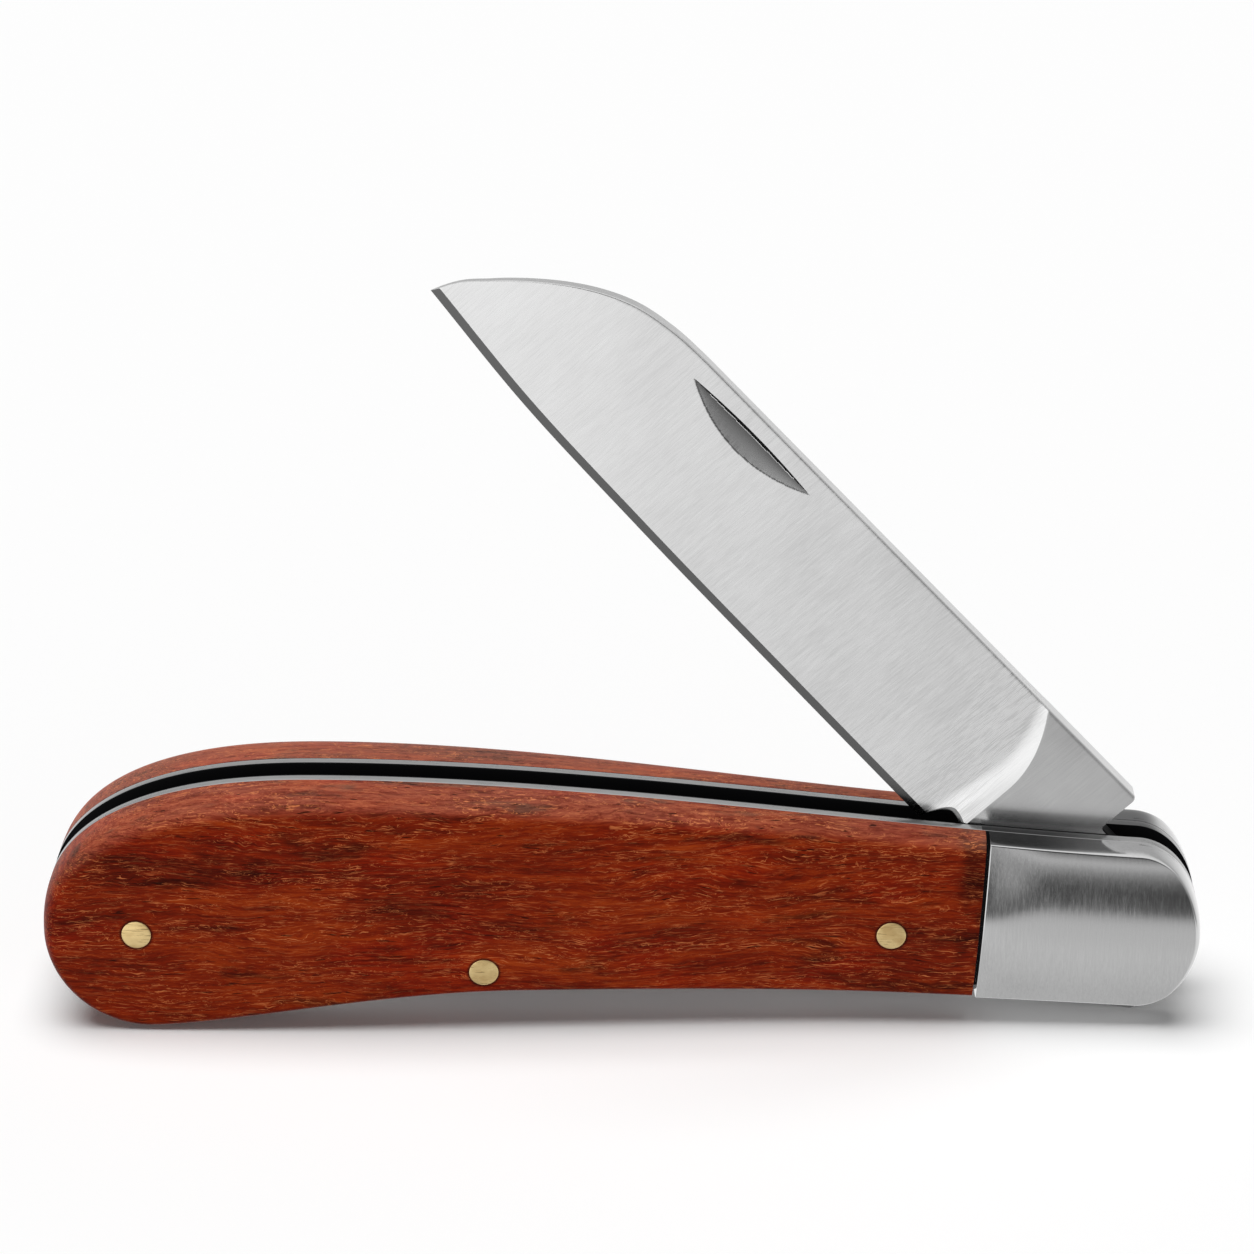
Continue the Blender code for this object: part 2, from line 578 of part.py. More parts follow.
def blade_outline():
    """Return the blade's outline as (reach, height) points: edge, back, shoulder, tang, kick and choil."""
    edge_x = np.linspace(HEEL_REACH, BLADE_REACH, EDGE_STEPS + 1)
    edge = list(zip(edge_x, edge_line(edge_x)))
    setback = TIP_SWEEP * np.linspace(0.0, 1.0, EDGE_STEPS + 1)[1:] ** SWEEP_CROWDING
    back = list(zip(BLADE_REACH - setback, back_line(setback)))
    spine = arc((SPINE_SHOULDER + SPINE_CORNER, SPINE_HEIGHT - SPINE_CORNER), SPINE_CORNER, 90.0, 180.0)
    fillet = arc((SPINE_SHOULDER - TANG_FILLET, TANG_RADIUS + TANG_FILLET), TANG_FILLET, 0.0, -90.0)
    inner = TANG_RADIUS - TANG_CORNER
    end = arc((-inner, inner), TANG_CORNER, 90.0, 180.0) + arc((-inner, -inner), TANG_CORNER, 180.0, 270.0)
    kick = kick_depth()
    kick_start = KICK_REACH - KICK_WIDTH
    kick_points = [(kick_start - (kick - TANG_RADIUS), -TANG_RADIUS), (kick_start, -kick)]
    turn = np.linspace(0.0, math.pi / 2, ARC_STEPS + 1)
    arch_rise = kick - HEEL_DEPTH + CHOIL_RISE
    arch = list(zip(CHOIL_REACH - KICK_SETBACK * np.cos(turn), -kick + arch_rise * np.sin(turn)))
    share = np.linspace(1.0, 0.0, ARC_STEPS + 2)[1:-1]
    ogee = CHOIL_RISE * np.sin(math.pi / 2 * share ** CHOIL_EASE) - HEEL_DEPTH
    choil = arch + list(zip(HEEL_REACH - CHOIL_SETBACK * share, ogee))
    return edge + back + spine + fillet + end + kick_points + choil


def stock_half(reach, lift):
    """Return half the ground blade's thickness, lift being the height above the cutting edge."""
    share = lift / BLADE_DEPTH
    along = np.clip((reach - PLUNGE_REACH) / (BLADE_REACH - PLUNGE_REACH), 0.0, 1.0)
    spine_half = (SPINE_THICKNESS + (TIP_SPINE_THICKNESS - SPINE_THICKNESS) * along) / 2
    flat = BEVEL_THICKNESS / 2 + (spine_half - BEVEL_THICKNESS / 2) * share
    bevel_top = BEVEL_THICKNESS / 2 + (spine_half - BEVEL_THICKNESS / 2) * BEVEL_WIDTH / BLADE_DEPTH
    bevel = EDGE_THICKNESS / 2 + (bevel_top - EDGE_THICKNESS / 2) * lift / BEVEL_WIDTH
    return np.where(lift < BEVEL_WIDTH, bevel, flat)


def slab_between(inner, outer):
    """Return a closed solid between two grids of points that have the same rows and columns."""
    rows, columns = inner.shape[:2]
    bm = bmesh.new()
    front = [[bm.verts.new(inner[i, j]) for j in range(columns)] for i in range(rows)]
    rear = [[bm.verts.new(outer[i, j]) for j in range(columns)] for i in range(rows)]
    for i in range(rows - 1):
        for j in range(columns - 1):
            bm.faces.new((front[i][j], front[i][j + 1], front[i + 1][j + 1], front[i + 1][j]))
            bm.faces.new((rear[i][j], rear[i + 1][j], rear[i + 1][j + 1], rear[i][j + 1]))
    rim = [(0, j) for j in range(columns)] + [(i, columns - 1) for i in range(1, rows)]
    rim += [(rows - 1, j) for j in range(columns - 2, -1, -1)] + [(i, 0) for i in range(rows - 2, 0, -1)]
    for (i, j), (k, m) in zip(rim, rim[1:] + rim[:1]):
        bm.faces.new((front[i][j], rear[i][j], rear[k][m], front[k][m]))
    return bm


def grind_cutter(side):
    """Return what grinding takes off one side of the blade: plunge, flat and edge bevel."""
    upper = np.linspace(BEVEL_WIDTH, BLADE_DEPTH + CUTTER_MARGIN, GRIND_ROWS)
    lift = np.concatenate([[-CUTTER_MARGIN, 0.0], upper])
    turn = np.clip(2.0 * lift / BLADE_DEPTH - 1.0, 0.0, None)
    start = PLUNGE_REACH + PLUNGE_SWEEP * turn ** 2
    removed = BLADE_THICKNESS / 2 - stock_half(start, np.maximum(lift, 0.0))
    length = np.sqrt(2 * PLUNGE_WHEEL * removed - removed ** 2)
    shares = np.concatenate([[-CUTTER_OVERRUN], np.linspace(0.0, 1.0, GRIND_ROWS)])
    reach = start[:, None] + length[:, None] * shares
    hollow = PLUNGE_WHEEL - np.sqrt(PLUNGE_WHEEL ** 2 - (length[:, None] * (1.0 - shares)) ** 2)
    run = BLADE_REACH + CUTTER_MARGIN - reach[:, -1:]
    far = reach[:, -1:] + run * np.linspace(0.0, 1.0, GRIND_COLUMNS + 1)[1:]
    reach = np.concatenate([reach, far], axis=1)
    hollow = np.concatenate([hollow, np.zeros_like(far)], axis=1)
    half = stock_half(reach, np.maximum(lift, 0.0)[:, None]) + hollow
    height = edge_line(reach) + lift[:, None]
    inner = np.stack([-reach, side * half, height], axis=-1)
    outer = inner.copy()
    outer[..., 1] = side * (BLADE_THICKNESS / 2 + CUTTER_MARGIN)
    return slab_between(inner, outer)


def nick_cutter():
    """Return the nail nick's cutter: its floor sinks from an arc to a wall along the spine's side."""
    u = np.linspace(-1.0, 1.0, EDGE_STEPS + 1)
    v = np.linspace(-CUTTER_OVERRUN, 1.0, ARC_STEPS + 2)
    reach = NICK_START + NICK_LENGTH * (u + 1.0) / 2
    wall = SPINE_HEIGHT - NICK_DROP
    width = NICK_WIDTH * (1.0 - u ** 2)
    height = wall - width[None, :] * (1.0 - v[:, None]) - NICK_ROLL * (1.0 - v[:, None]) ** 4
    depth = NICK_DEPTH * (height - (wall - width[None, :])) / NICK_WIDTH
    reach = np.broadcast_to(reach, height.shape)
    half = stock_half(reach, height - edge_line(reach))
    inner = np.stack([-reach, -(half - depth), height], axis=-1)
    outer = inner.copy()
    outer[..., 1] = -(BLADE_THICKNESS / 2 + CUTTER_MARGIN)
    return slab_between(inner, outer)


def make_blade(materials):
    """Make the blade from flat stock: grind both sides, cut the nail nick, drill the pivot hole."""
    outline = [(-reach, height) for reach, height in blade_outline()]
    half = BLADE_THICKNESS / 2
    blade = add_object("blade", extrude_outline(outline, -half, half), materials["blade"])
    cutters = [
        add_object("grind_front", grind_cutter(-1)),
        add_object("grind_rear", grind_cutter(1)),
        add_object("nick", nick_cutter()),
        add_object("pivot_hole", cylinder(0.0, 0.0, PIVOT_PIN_RADIUS + BORE_CLEARANCE,
                                          -half - CUTTER_MARGIN, half + CUTTER_MARGIN, PIVOT_FACETS)),
    ]
    for cutter in cutters:
        cut(blade, cutter)
        cutter.parent = blade
    blade.location = PIVOT
    blade.rotation_euler = (0.0, REST_ANGLE, 0.0)
    return blade


def even_shading():
    """Let the large flat faces rule the shading round every cut."""
    for obj in bpy.data.objects:
        if obj.modifiers:
            modifier = obj.modifiers.new("even_shading", "WEIGHTED_NORMAL")
            modifier.keep_sharp = True


def main():
    """Build the knife."""
    clear_scene()
    materials = {
        "wood": make_material("wood", (0.32, 0.09, 0.035), 0.45, 0.0),
        "bolster": make_material("bolster_steel", (0.55, 0.55, 0.56), 0.32, 1.0),
        "liner": make_material("liner_steel", (0.6, 0.61, 0.63), 0.3, 1.0),
        "blade": make_material("blade_steel", (0.62, 0.62, 0.63), 0.3, 1.0),
        "steel": make_material("spring_steel", (0.3, 0.3, 0.31), 0.4, 1.0),
        "brass": make_material("brass", (0.75, 0.6, 0.34), 0.35, 1.0),
    }
    outline = handle_outline(FINE_STATIONS)
    make_slabs(materials, outline)
    make_liners(materials)
    make_spring(materials)
    make_pins(materials, outline)
    make_blade(materials)
    even_shading()


main()
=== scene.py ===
"""Looks of a folding pruning knife, half open and standing on its back.

Frame: metres, X along the handle towards the bolsters, Y from front to rear, Z up. The handle's outline,
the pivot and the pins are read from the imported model, and every surface is worked out from them.
"""
from __future__ import annotations

import functools
import json
import logging
import math
from collections.abc import Iterable, Sequence
from dataclasses import dataclass, field
from enum import Enum

import bmesh
import bpy
import numpy as np
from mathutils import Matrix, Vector

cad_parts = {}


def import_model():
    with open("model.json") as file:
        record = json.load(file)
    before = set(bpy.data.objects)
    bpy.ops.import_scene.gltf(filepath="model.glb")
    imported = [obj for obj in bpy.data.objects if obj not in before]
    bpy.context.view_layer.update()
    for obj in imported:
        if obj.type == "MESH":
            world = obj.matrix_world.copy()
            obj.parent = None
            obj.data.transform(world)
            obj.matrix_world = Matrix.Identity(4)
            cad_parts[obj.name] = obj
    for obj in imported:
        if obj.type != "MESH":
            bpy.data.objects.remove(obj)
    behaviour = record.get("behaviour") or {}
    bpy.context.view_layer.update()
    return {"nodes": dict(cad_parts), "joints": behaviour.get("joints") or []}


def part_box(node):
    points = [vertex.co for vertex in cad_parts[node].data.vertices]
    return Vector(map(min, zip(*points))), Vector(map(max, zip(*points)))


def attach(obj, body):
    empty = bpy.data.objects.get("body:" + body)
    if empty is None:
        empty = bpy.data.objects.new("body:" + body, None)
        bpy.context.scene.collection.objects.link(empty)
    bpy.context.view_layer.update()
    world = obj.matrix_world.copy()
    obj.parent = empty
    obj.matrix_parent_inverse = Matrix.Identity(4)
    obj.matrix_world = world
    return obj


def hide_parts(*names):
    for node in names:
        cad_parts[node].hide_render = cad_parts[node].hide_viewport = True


LOG = logging.getLogger("pruning_knife")
MM = 0.001

# Sizes that more than one piece needs, in metres and radians.
BOLSTER_LENGTH = 21.45 * MM
PIN_HOLE = 1.55 * MM
RIVET_HOLE = 0.85 * MM
TANG_RADIUS = 5.3 * MM
TANG_CORNER = 0.7 * MM
REST_ANGLE = math.radians(46.45)
RIVETS = ("lower_bolster_rivet", "upper_bolster_rivet")

# How meshes are made: sharp edges from this many degrees on, rows of an eased edge as shares of its radius.
CREASE = 30.0
EASE_ROWS = (0.0, 0.12, 0.45, 1.0)
DRILL_SIDES = 64
MERGE_DISTANCE = 2e-7
LEAST_SHARE = 1e-6
LEAST_WIDTH = 1e-9

BLACK = (0.0, 0.0, 0.0)
WHITE = (1.0, 1.0, 1.0)

Array = np.ndarray
Socket = bpy.types.NodeSocket
Point = tuple[float, float]
Range = tuple[float, float]
Triple = tuple[float, float, float]
Colour = Triple
# A span starts and ends a smooth change, then gives the results before and after it, else 0 and 1.
Span = tuple[float, ...]
# Stops are places with a grey, a height or a share at each.
Stops = tuple[Point, ...]


class Side(Enum):
    """The two sides of the knife, as signs of Y."""

    FRONT = -1
    REAR = 1

    @property
    def word(self) -> str:
        """Return the word that node names start with."""
        return self.name.lower()


class Body(Enum):
    """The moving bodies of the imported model."""

    HANDLE = "handle"
    BLADE = "blade"


# Curves


def smooth_step(u: Array) -> Array:
    """Return the cubic 3u^2 - 2u^3, level at both ends, with u held between 0 and 1."""
    u = np.clip(u, 0.0, 1.0)
    return u * u * (3.0 - 2.0 * u)


def between(ends: tuple[float | Array, float | Array], share: float | Array) -> Array:
    """Return what lies at a share of the way between two ends."""
    return ends[0] + (ends[1] - ends[0]) * share


def quarter(count: int) -> Array:
    """Return angles spread evenly over a quarter turn."""
    return np.linspace(0.0, math.pi / 2.0, count)


def level_to_slope(x: Array, start: Point, end: Point, slope: float) -> Array:
    """Return a line that leaves its start level, reaches its end at a slope and runs straight on.

    Between the ends the height is a cubic: the smooth step between both heights, plus the end slope times
    the span times u^3 - u^2, where u is the share of the span.

    Args:
        x: places along the handle.
        start: where the line is level, as (x, z).
        end: where the slope is reached, as (x, z).
        slope: rise per length at the end and after it.

    Returns:
        The heights at the places.
    """
    span = end[0] - start[0]
    u = np.clip((x - start[0]) / span, 0.0, 1.0)
    curve = between((start[1], end[1]), smooth_step(u)) + slope * span * (u**3 - u**2)
    return curve + slope * np.maximum(x - end[0], 0.0)


def end_cap(u: Array, power: float) -> Array:
    """Return a superellipse quarter, (1 - u^power)^(1/power), with u held between 0 and 1."""
    return (1.0 - np.clip(u, 0.0, 1.0) ** power) ** (1.0 / power)


def curve_through(x: Array, knots: Sequence[Point]) -> Array:
    """Return a smooth curve through knots.

    Each stretch is the cubic that meets both knots with the slopes that their neighbours give.

    Args:
        x: places at which the curve is wanted.
        knots: points (x, z) in rising order of x.

    Returns:
        The curve's heights at the places.
    """
    xs, zs = np.array(knots, dtype=float).T
    slopes = np.gradient(zs, xs)
    i = np.clip(np.searchsorted(xs, x, side="right") - 1, 0, len(xs) - 2)
    span = xs[i + 1] - xs[i]
    u = np.clip((x - xs[i]) / span, 0.0, 1.0)
    rise = smooth_step(u)
    bend = u * (1.0 - u) ** 2 * slopes[i] + u * u * (u - 1.0) * slopes[i + 1]
    return zs[i] * (1.0 - rise) + zs[i + 1] * rise + span * bend


def eased(distance: Array, radius: float) -> Array:
    """Return how far a face falls back beside an eased edge: a quarter circle over the radius."""
    inward = np.clip(radius - distance, 0.0, radius)
    return radius - np.sqrt(radius**2 - inward**2)


def edge_distance(x: Array, z: Array, outline: Array) -> Array:
    """Return the distance from points to the nearest side of a closed outline.

    Each point is set square onto every side, held between the side's ends, and the least distance is kept.
    The rows of the grid are taken one at a time, which keeps the arrays small.

    Args:
        x: the points' X, as a grid.
        z: the points' Z, as a grid.
        outline: corners of the outline as rows of (x, z).

    Returns:
        The distances, as a grid.
    """
    side = np.roll(outline, -1, axis=0) - outline
    length = np.sum(side * side, axis=-1)
    distances = []
    for row_x, row_z in zip(x, z):
        away = np.stack([row_x, row_z], axis=-1)[:, None, :] - outline
        along = np.clip(np.sum(away * side, axis=-1) / length, 0.0, 1.0)
        distances.append(np.min(np.linalg.norm(away - side * along[..., None], axis=-1), axis=-1))
    return np.array(distances)


# Meshes


def solid_between(front: Array, back: Array) -> tuple[Array, Array]:
    """Return a closed solid between two grids of points with the same rows and columns.

    Args:
        front: one face's points, as rows by columns by 3.
        back: the other face's points.

    Returns:
        The points, and the four-sided faces as rows of indices: both grids and the wall round their rims.
    """
    rows, columns = front.shape[:2]
    index = np.arange(rows * columns).reshape(rows, columns)
    near = np.stack([index[:-1, :-1], index[:-1, 1:], index[1:, 1:], index[1:, :-1]], axis=-1).reshape(-1, 4)
    far = near[:, ::-1] + index.size
    rim = np.concatenate([index[0, :-1], index[:-1, -1], index[-1, :0:-1], index[:0:-1, 0]])
    ahead = np.roll(rim, -1)
    wall = np.stack([ahead, rim, rim + index.size, ahead + index.size], axis=-1)
    return np.concatenate([front.reshape(-1, 3), back.reshape(-1, 3)]), np.concatenate([near, far, wall])


def turned_grid(rings: Array) -> tuple[Array, Array]:
    """Return the points and faces of rings of points, each joined to the next all the way round.

    Args:
        rings: the points, as rings by points by 3.

    Returns:
        The points, and the faces as rows of four indices.
    """
    count, around = rings.shape[:2]
    index = np.arange(count * around).reshape(count, around)
    beside = np.roll(index, -1, axis=1)
    quads = np.stack([index[:-1], beside[:-1], beside[1:], index[1:]], axis=-1)
    return rings.reshape(-1, 3), quads.reshape(-1, 4)


def mesh_from(name: str, points: Array, quads: Array, crease: float = CREASE,
              marks: dict[str, Array] | None = None) -> bpy.types.Mesh:
    """Return a closed smooth mesh with its seams and poles merged and its faces pointing out.

    Args:
        name: the mesh's name.
        points: its points.
        quads: its faces as rows of four indices.
        crease: angle in degrees above which an edge stays sharp.
        marks: values per face that the finish reads, by name.

    Returns:
        The mesh.
    """
    mesh = bpy.data.meshes.new(name)
    mesh.vertices.add(len(points))
    mesh.vertices.foreach_set("co", points.astype(np.float32).ravel())
    mesh.loops.add(quads.size)
    mesh.loops.foreach_set("vertex_index", quads.astype(np.int32).ravel())
    mesh.polygons.add(len(quads))
    mesh.polygons.foreach_set("loop_start", np.arange(0, quads.size, 4, dtype=np.int32))
    mesh.update(calc_edges=True)
    for mark, values in (marks or {}).items():
        mesh.attributes.new(mark, "FLOAT", "FACE").data.foreach_set("value", values.astype(np.float32))
    bm = bmesh.new()
    bm.from_mesh(mesh)
    bmesh.ops.remove_doubles(bm, verts=bm.verts, dist=MERGE_DISTANCE)
    bmesh.ops.recalc_face_normals(bm, faces=bm.faces)
    bm.to_mesh(mesh)
    bm.free()
    mesh.shade_smooth()
    mesh.set_sharp_from_angle(angle=math.radians(crease))
    return mesh


def drill(mesh: bpy.types.Mesh, holes: Sequence[Triple], reach: float,
          crease: float = CREASE) -> bpy.types.Mesh:
    """Return a mesh with round holes along Y cut through it.

    Args:
        mesh: the mesh to drill.
        holes: each hole's (x, z, radius).
        reach: how far the drill goes on both sides of the middle.
        crease: angle in degrees above which an edge stays sharp.

    Returns:
        The drilled mesh, smooth with sharp rims.
    """
    around = np.linspace(0.0, 2.0 * math.pi, DRILL_SIDES, endpoint=False)
    share = np.array([0.0, 1.0, 1.0, 0.0])[:, None]
    y = np.array([-reach, -reach, reach, reach])[:, None] + 0.0 * around
    blank = bpy.data.objects.new("blank", mesh)
    bpy.context.scene.collection.objects.link(blank)
    made = [blank]
    for x, z, radius in holes:
        ring = np.stack([x + radius * share * np.cos(around), y, z + radius * share * np.sin(around)], axis=-1)
        tool = bpy.data.objects.new("drill", mesh_from("drill", *turned_grid(ring)))
        bpy.context.scene.collection.objects.link(tool)
        cut = blank.modifiers.new("drill", "BOOLEAN")
        cut.operation = "DIFFERENCE"
        cut.solver = "EXACT"
        cut.object = tool
        made.append(tool)
    bpy.context.view_layer.update()
    drilled = bpy.data.meshes.new_from_object(blank.evaluated_get(bpy.context.evaluated_depsgraph_get()))
    for piece in made:
        bpy.data.objects.remove(piece, do_unlink=True)
    drilled.shade_smooth()
    drilled.set_sharp_from_angle(angle=math.radians(crease))
    return drilled


def add_piece(mesh: bpy.types.Mesh, node: str, finish: Finish, body: Body) -> bpy.types.Object:
    """Put a mesh into the scene as the piece that stands for one node.

    Args:
        mesh: the piece's mesh, in place.
        node: the node that the piece replaces.
        finish: what the piece is made of.
        body: the body that it moves with.

    Returns:
        The piece.
    """
    piece = bpy.data.objects.new(f"{node}_piece", mesh)
    bpy.context.scene.collection.objects.link(piece)
    mesh.materials.clear()
    mesh.materials.append(finish.material)
    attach(piece, body.value)
    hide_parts(node)
    return piece


# Finishes


@dataclass(frozen=True)
class Pattern:
    """A fractal noise: its cells per millimetre along each axis, its octaves and how rough they are."""

    cells: Triple
    detail: float = 2.0
    rough: float = 0.5


class Axis(Enum):
    """The frame's directions."""

    ALONG = (1.0, 0.0, 0.0)
    ACROSS = (0.0, 1.0, 0.0)
    UP = (0.0, 0.0, 1.0)


class Graph:
    """Builder of the nodes in one tree."""

    def __init__(self, tree: bpy.types.NodeTree) -> None:
        """Start with an empty tree."""
        self.tree = tree
        tree.nodes.clear()

    def node(self, kind: str, **settings: object) -> bpy.types.Node:
        """Return a new node with its settings.

        Args:
            kind: the node's type.
            settings: the node's own settings by name.

        Returns:
            The node.
        """
        node = self.tree.nodes.new(kind)
        for name, value in settings.items():
            setattr(node, name, value)
        return node

    def feed(self, socket: Socket, value: object) -> None:
        """Link a socket to another, or set its value.

        Args:
            socket: the input to set.
            value: another socket, a number or several numbers.
        """
        if isinstance(value, bpy.types.NodeSocket):
            self.tree.links.new(value, socket)
        else:
            socket.default_value = value

    def maths(self, operation: str, *values: object) -> Socket:
        """Return the result of one Math node.

        Args:
            operation: the node's operation.
            values: its inputs in order.

        Returns:
            The result.
        """
        node = self.node("ShaderNodeMath", operation=operation)
        for socket, value in zip(node.inputs, values):
            self.feed(socket, value)
        return node.outputs["Value"]

    def times(self, first: object, second: object) -> Socket:
        """Return the product of two values."""
        return self.maths("MULTIPLY", first, second)

    def most(self, first: object, second: object) -> Socket:
        """Return the greater of two values."""
        return self.maths("MAXIMUM", first, second)

    def total(self, *parts: tuple[object, float]) -> Socket:
        """Return the sum of values, each times its weight."""
        weighed = [self.times(value, weight) for value, weight in parts]
        return functools.reduce(lambda first, second: self.maths("ADD", first, second), weighed)

    def vector(self, operation: str, *values: object, output: str = "Vector") -> Socket:
        """Return the result of one Vector Math node.

        Args:
            operation: the node's operation.
            values: its inputs in order.
            output: which output is wanted.

        Returns:
            The result.
        """
        node = self.node("ShaderNodeVectorMath", operation=operation)
        for socket, value in zip(node.inputs, values):
            self.feed(socket, value)
        return node.outputs[output]

    def span(self, value: object, low: float, high: float, to_low: float = 0.0, to_high: float = 1.0) -> Socket:
        """Return a value carried smoothly from one range to another and held at its ends.

        Args:
            value: the value.
            low: where the change starts.
            high: where it ends.
            to_low: the result before the change.
            to_high: the result after it.

        Returns:
            The result.
        """
        node = self.node("ShaderNodeMapRange", interpolation_type="SMOOTHSTEP")
        for name, number in zip(("Value", "From Min", "From Max", "To Min", "To Max"),
                                (value, low, high, to_low, to_high)):
            self.feed(node.inputs[name], number)
        return node.outputs["Result"]

    def ramp(self, value: object, stops: Iterable[tuple[float, Colour]]) -> Socket:
        """Return a colour ramp's colour.

        Args:
            value: the share along the ramp.
            stops: each stop's share and colour.

        Returns:
            The colour.
        """
        node = self.node("ShaderNodeValToRGB")
        self.feed(node.inputs["Fac"], value)
        stops, elements = list(stops), node.color_ramp.elements
        while len(elements) < len(stops):
            elements.new(0.5)
        for element, (position, colour) in zip(elements, stops):
            element.position = position
            element.color = (*colour, 1.0)
        return node.outputs["Color"]

    def mix(self, share: object, first: object, second: object, blend: str = "MIX") -> Socket:
        """Return two colours mixed, with plain colours given as three numbers.

        Args:
            share: the second colour's share.
            first: the first colour.
            second: the second colour.
            blend: how the second is laid over the first.

        Returns:
            The mix.
        """
        node = self.node("ShaderNodeMix", data_type="RGBA", blend_type=blend, clamp_factor=True)
        self.feed(node.inputs[0], share)
        for socket, value in zip((node.inputs[6], node.inputs[7]), (first, second)):
            self.feed(socket, (*value, 1.0) if isinstance(value, tuple) else value)
        return node.outputs[2]

    def ray(self, kind: str) -> Socket:
        """Return 1 for one kind of light ray."""
        return self.node("ShaderNodeLightPath").outputs[f"Is {kind} Ray"]


class Surface(Graph):
    """Builder of one material: a Principled shader, and patterns on Object coordinates."""

    def __init__(self, name: str) -> None:
        """Start a material with a plain shader.

        Args:
            name: the material's name.
        """
        self.material = bpy.data.materials.new(name)
        self.material.use_nodes = True
        super().__init__(self.material.node_tree)
        self.shader = self.node("ShaderNodeBsdfPrincipled")
        self.output = self.node("ShaderNodeOutputMaterial")
        self.feed(self.output.inputs["Surface"], self.shader.outputs["BSDF"])
        self.place = self.node("ShaderNodeTexCoord").outputs["Object"]

    def noise(self, pattern: Pattern, source: object = None, turn: float = 0.0, output: str = "Fac") -> Socket:
        """Return a pattern's noise.

        Args:
            pattern: the pattern.
            source: the coordinates, or None for the piece's own.
            turn: angle by which the coordinates are turned about Y first.
            output: which of the noise's outputs is wanted.

        Returns:
            The noise.
        """
        start = self.place if source is None else source
        if turn:
            turned = self.node("ShaderNodeMapping")
            self.feed(turned.inputs["Vector"], start)
            turned.inputs["Rotation"].default_value = (0.0, turn, 0.0)
            start = turned.outputs["Vector"]
        scaled = self.node("ShaderNodeMapping")
        self.feed(scaled.inputs["Vector"], start)
        scaled.inputs["Scale"].default_value = [value / MM for value in pattern.cells]
        node = self.node("ShaderNodeTexNoise")
        for name, value in (("Vector", scaled.outputs["Vector"]), ("Scale", 1.0), ("Detail", pattern.detail),
                            ("Roughness", pattern.rough)):
            self.feed(node.inputs[name], value)
        return node.outputs[output]

    def reach(self, direction: Triple) -> Socket:
        """Return how far a place lies along a direction."""
        return self.vector("DOT_PRODUCT", self.place, direction, output="Value")

    def facing_up(self) -> Socket:
        """Return how far a face looks up: the Z of its normal."""
        normal = self.node("ShaderNodeNewGeometry").outputs["Normal"]
        return self.vector("DOT_PRODUCT", normal, Axis.UP.value, output="Value")

    def bump(self, height: object, depth: float, strength: float) -> None:
        """Give the shader bumps as deep as a real length.

        Args:
            height: the relief, from 0 to 1.
            depth: how deep a height of 1 is.
            strength: how much of it shows.
        """
        node = self.node("ShaderNodeBump")
        node.inputs["Strength"].default_value = strength
        node.inputs["Distance"].default_value = depth
        self.feed(node.inputs["Height"], height)
        self.set("Normal", node.outputs["Normal"])

    def set(self, name: str, value: object) -> None:
        """Link or set one of the shader's own sockets."""
        self.feed(self.shader.inputs[name], value)


@dataclass
class Finish:
    """What a piece is made of: a material slot of the record and the material made for it."""

    slot: str
    material: bpy.types.Material


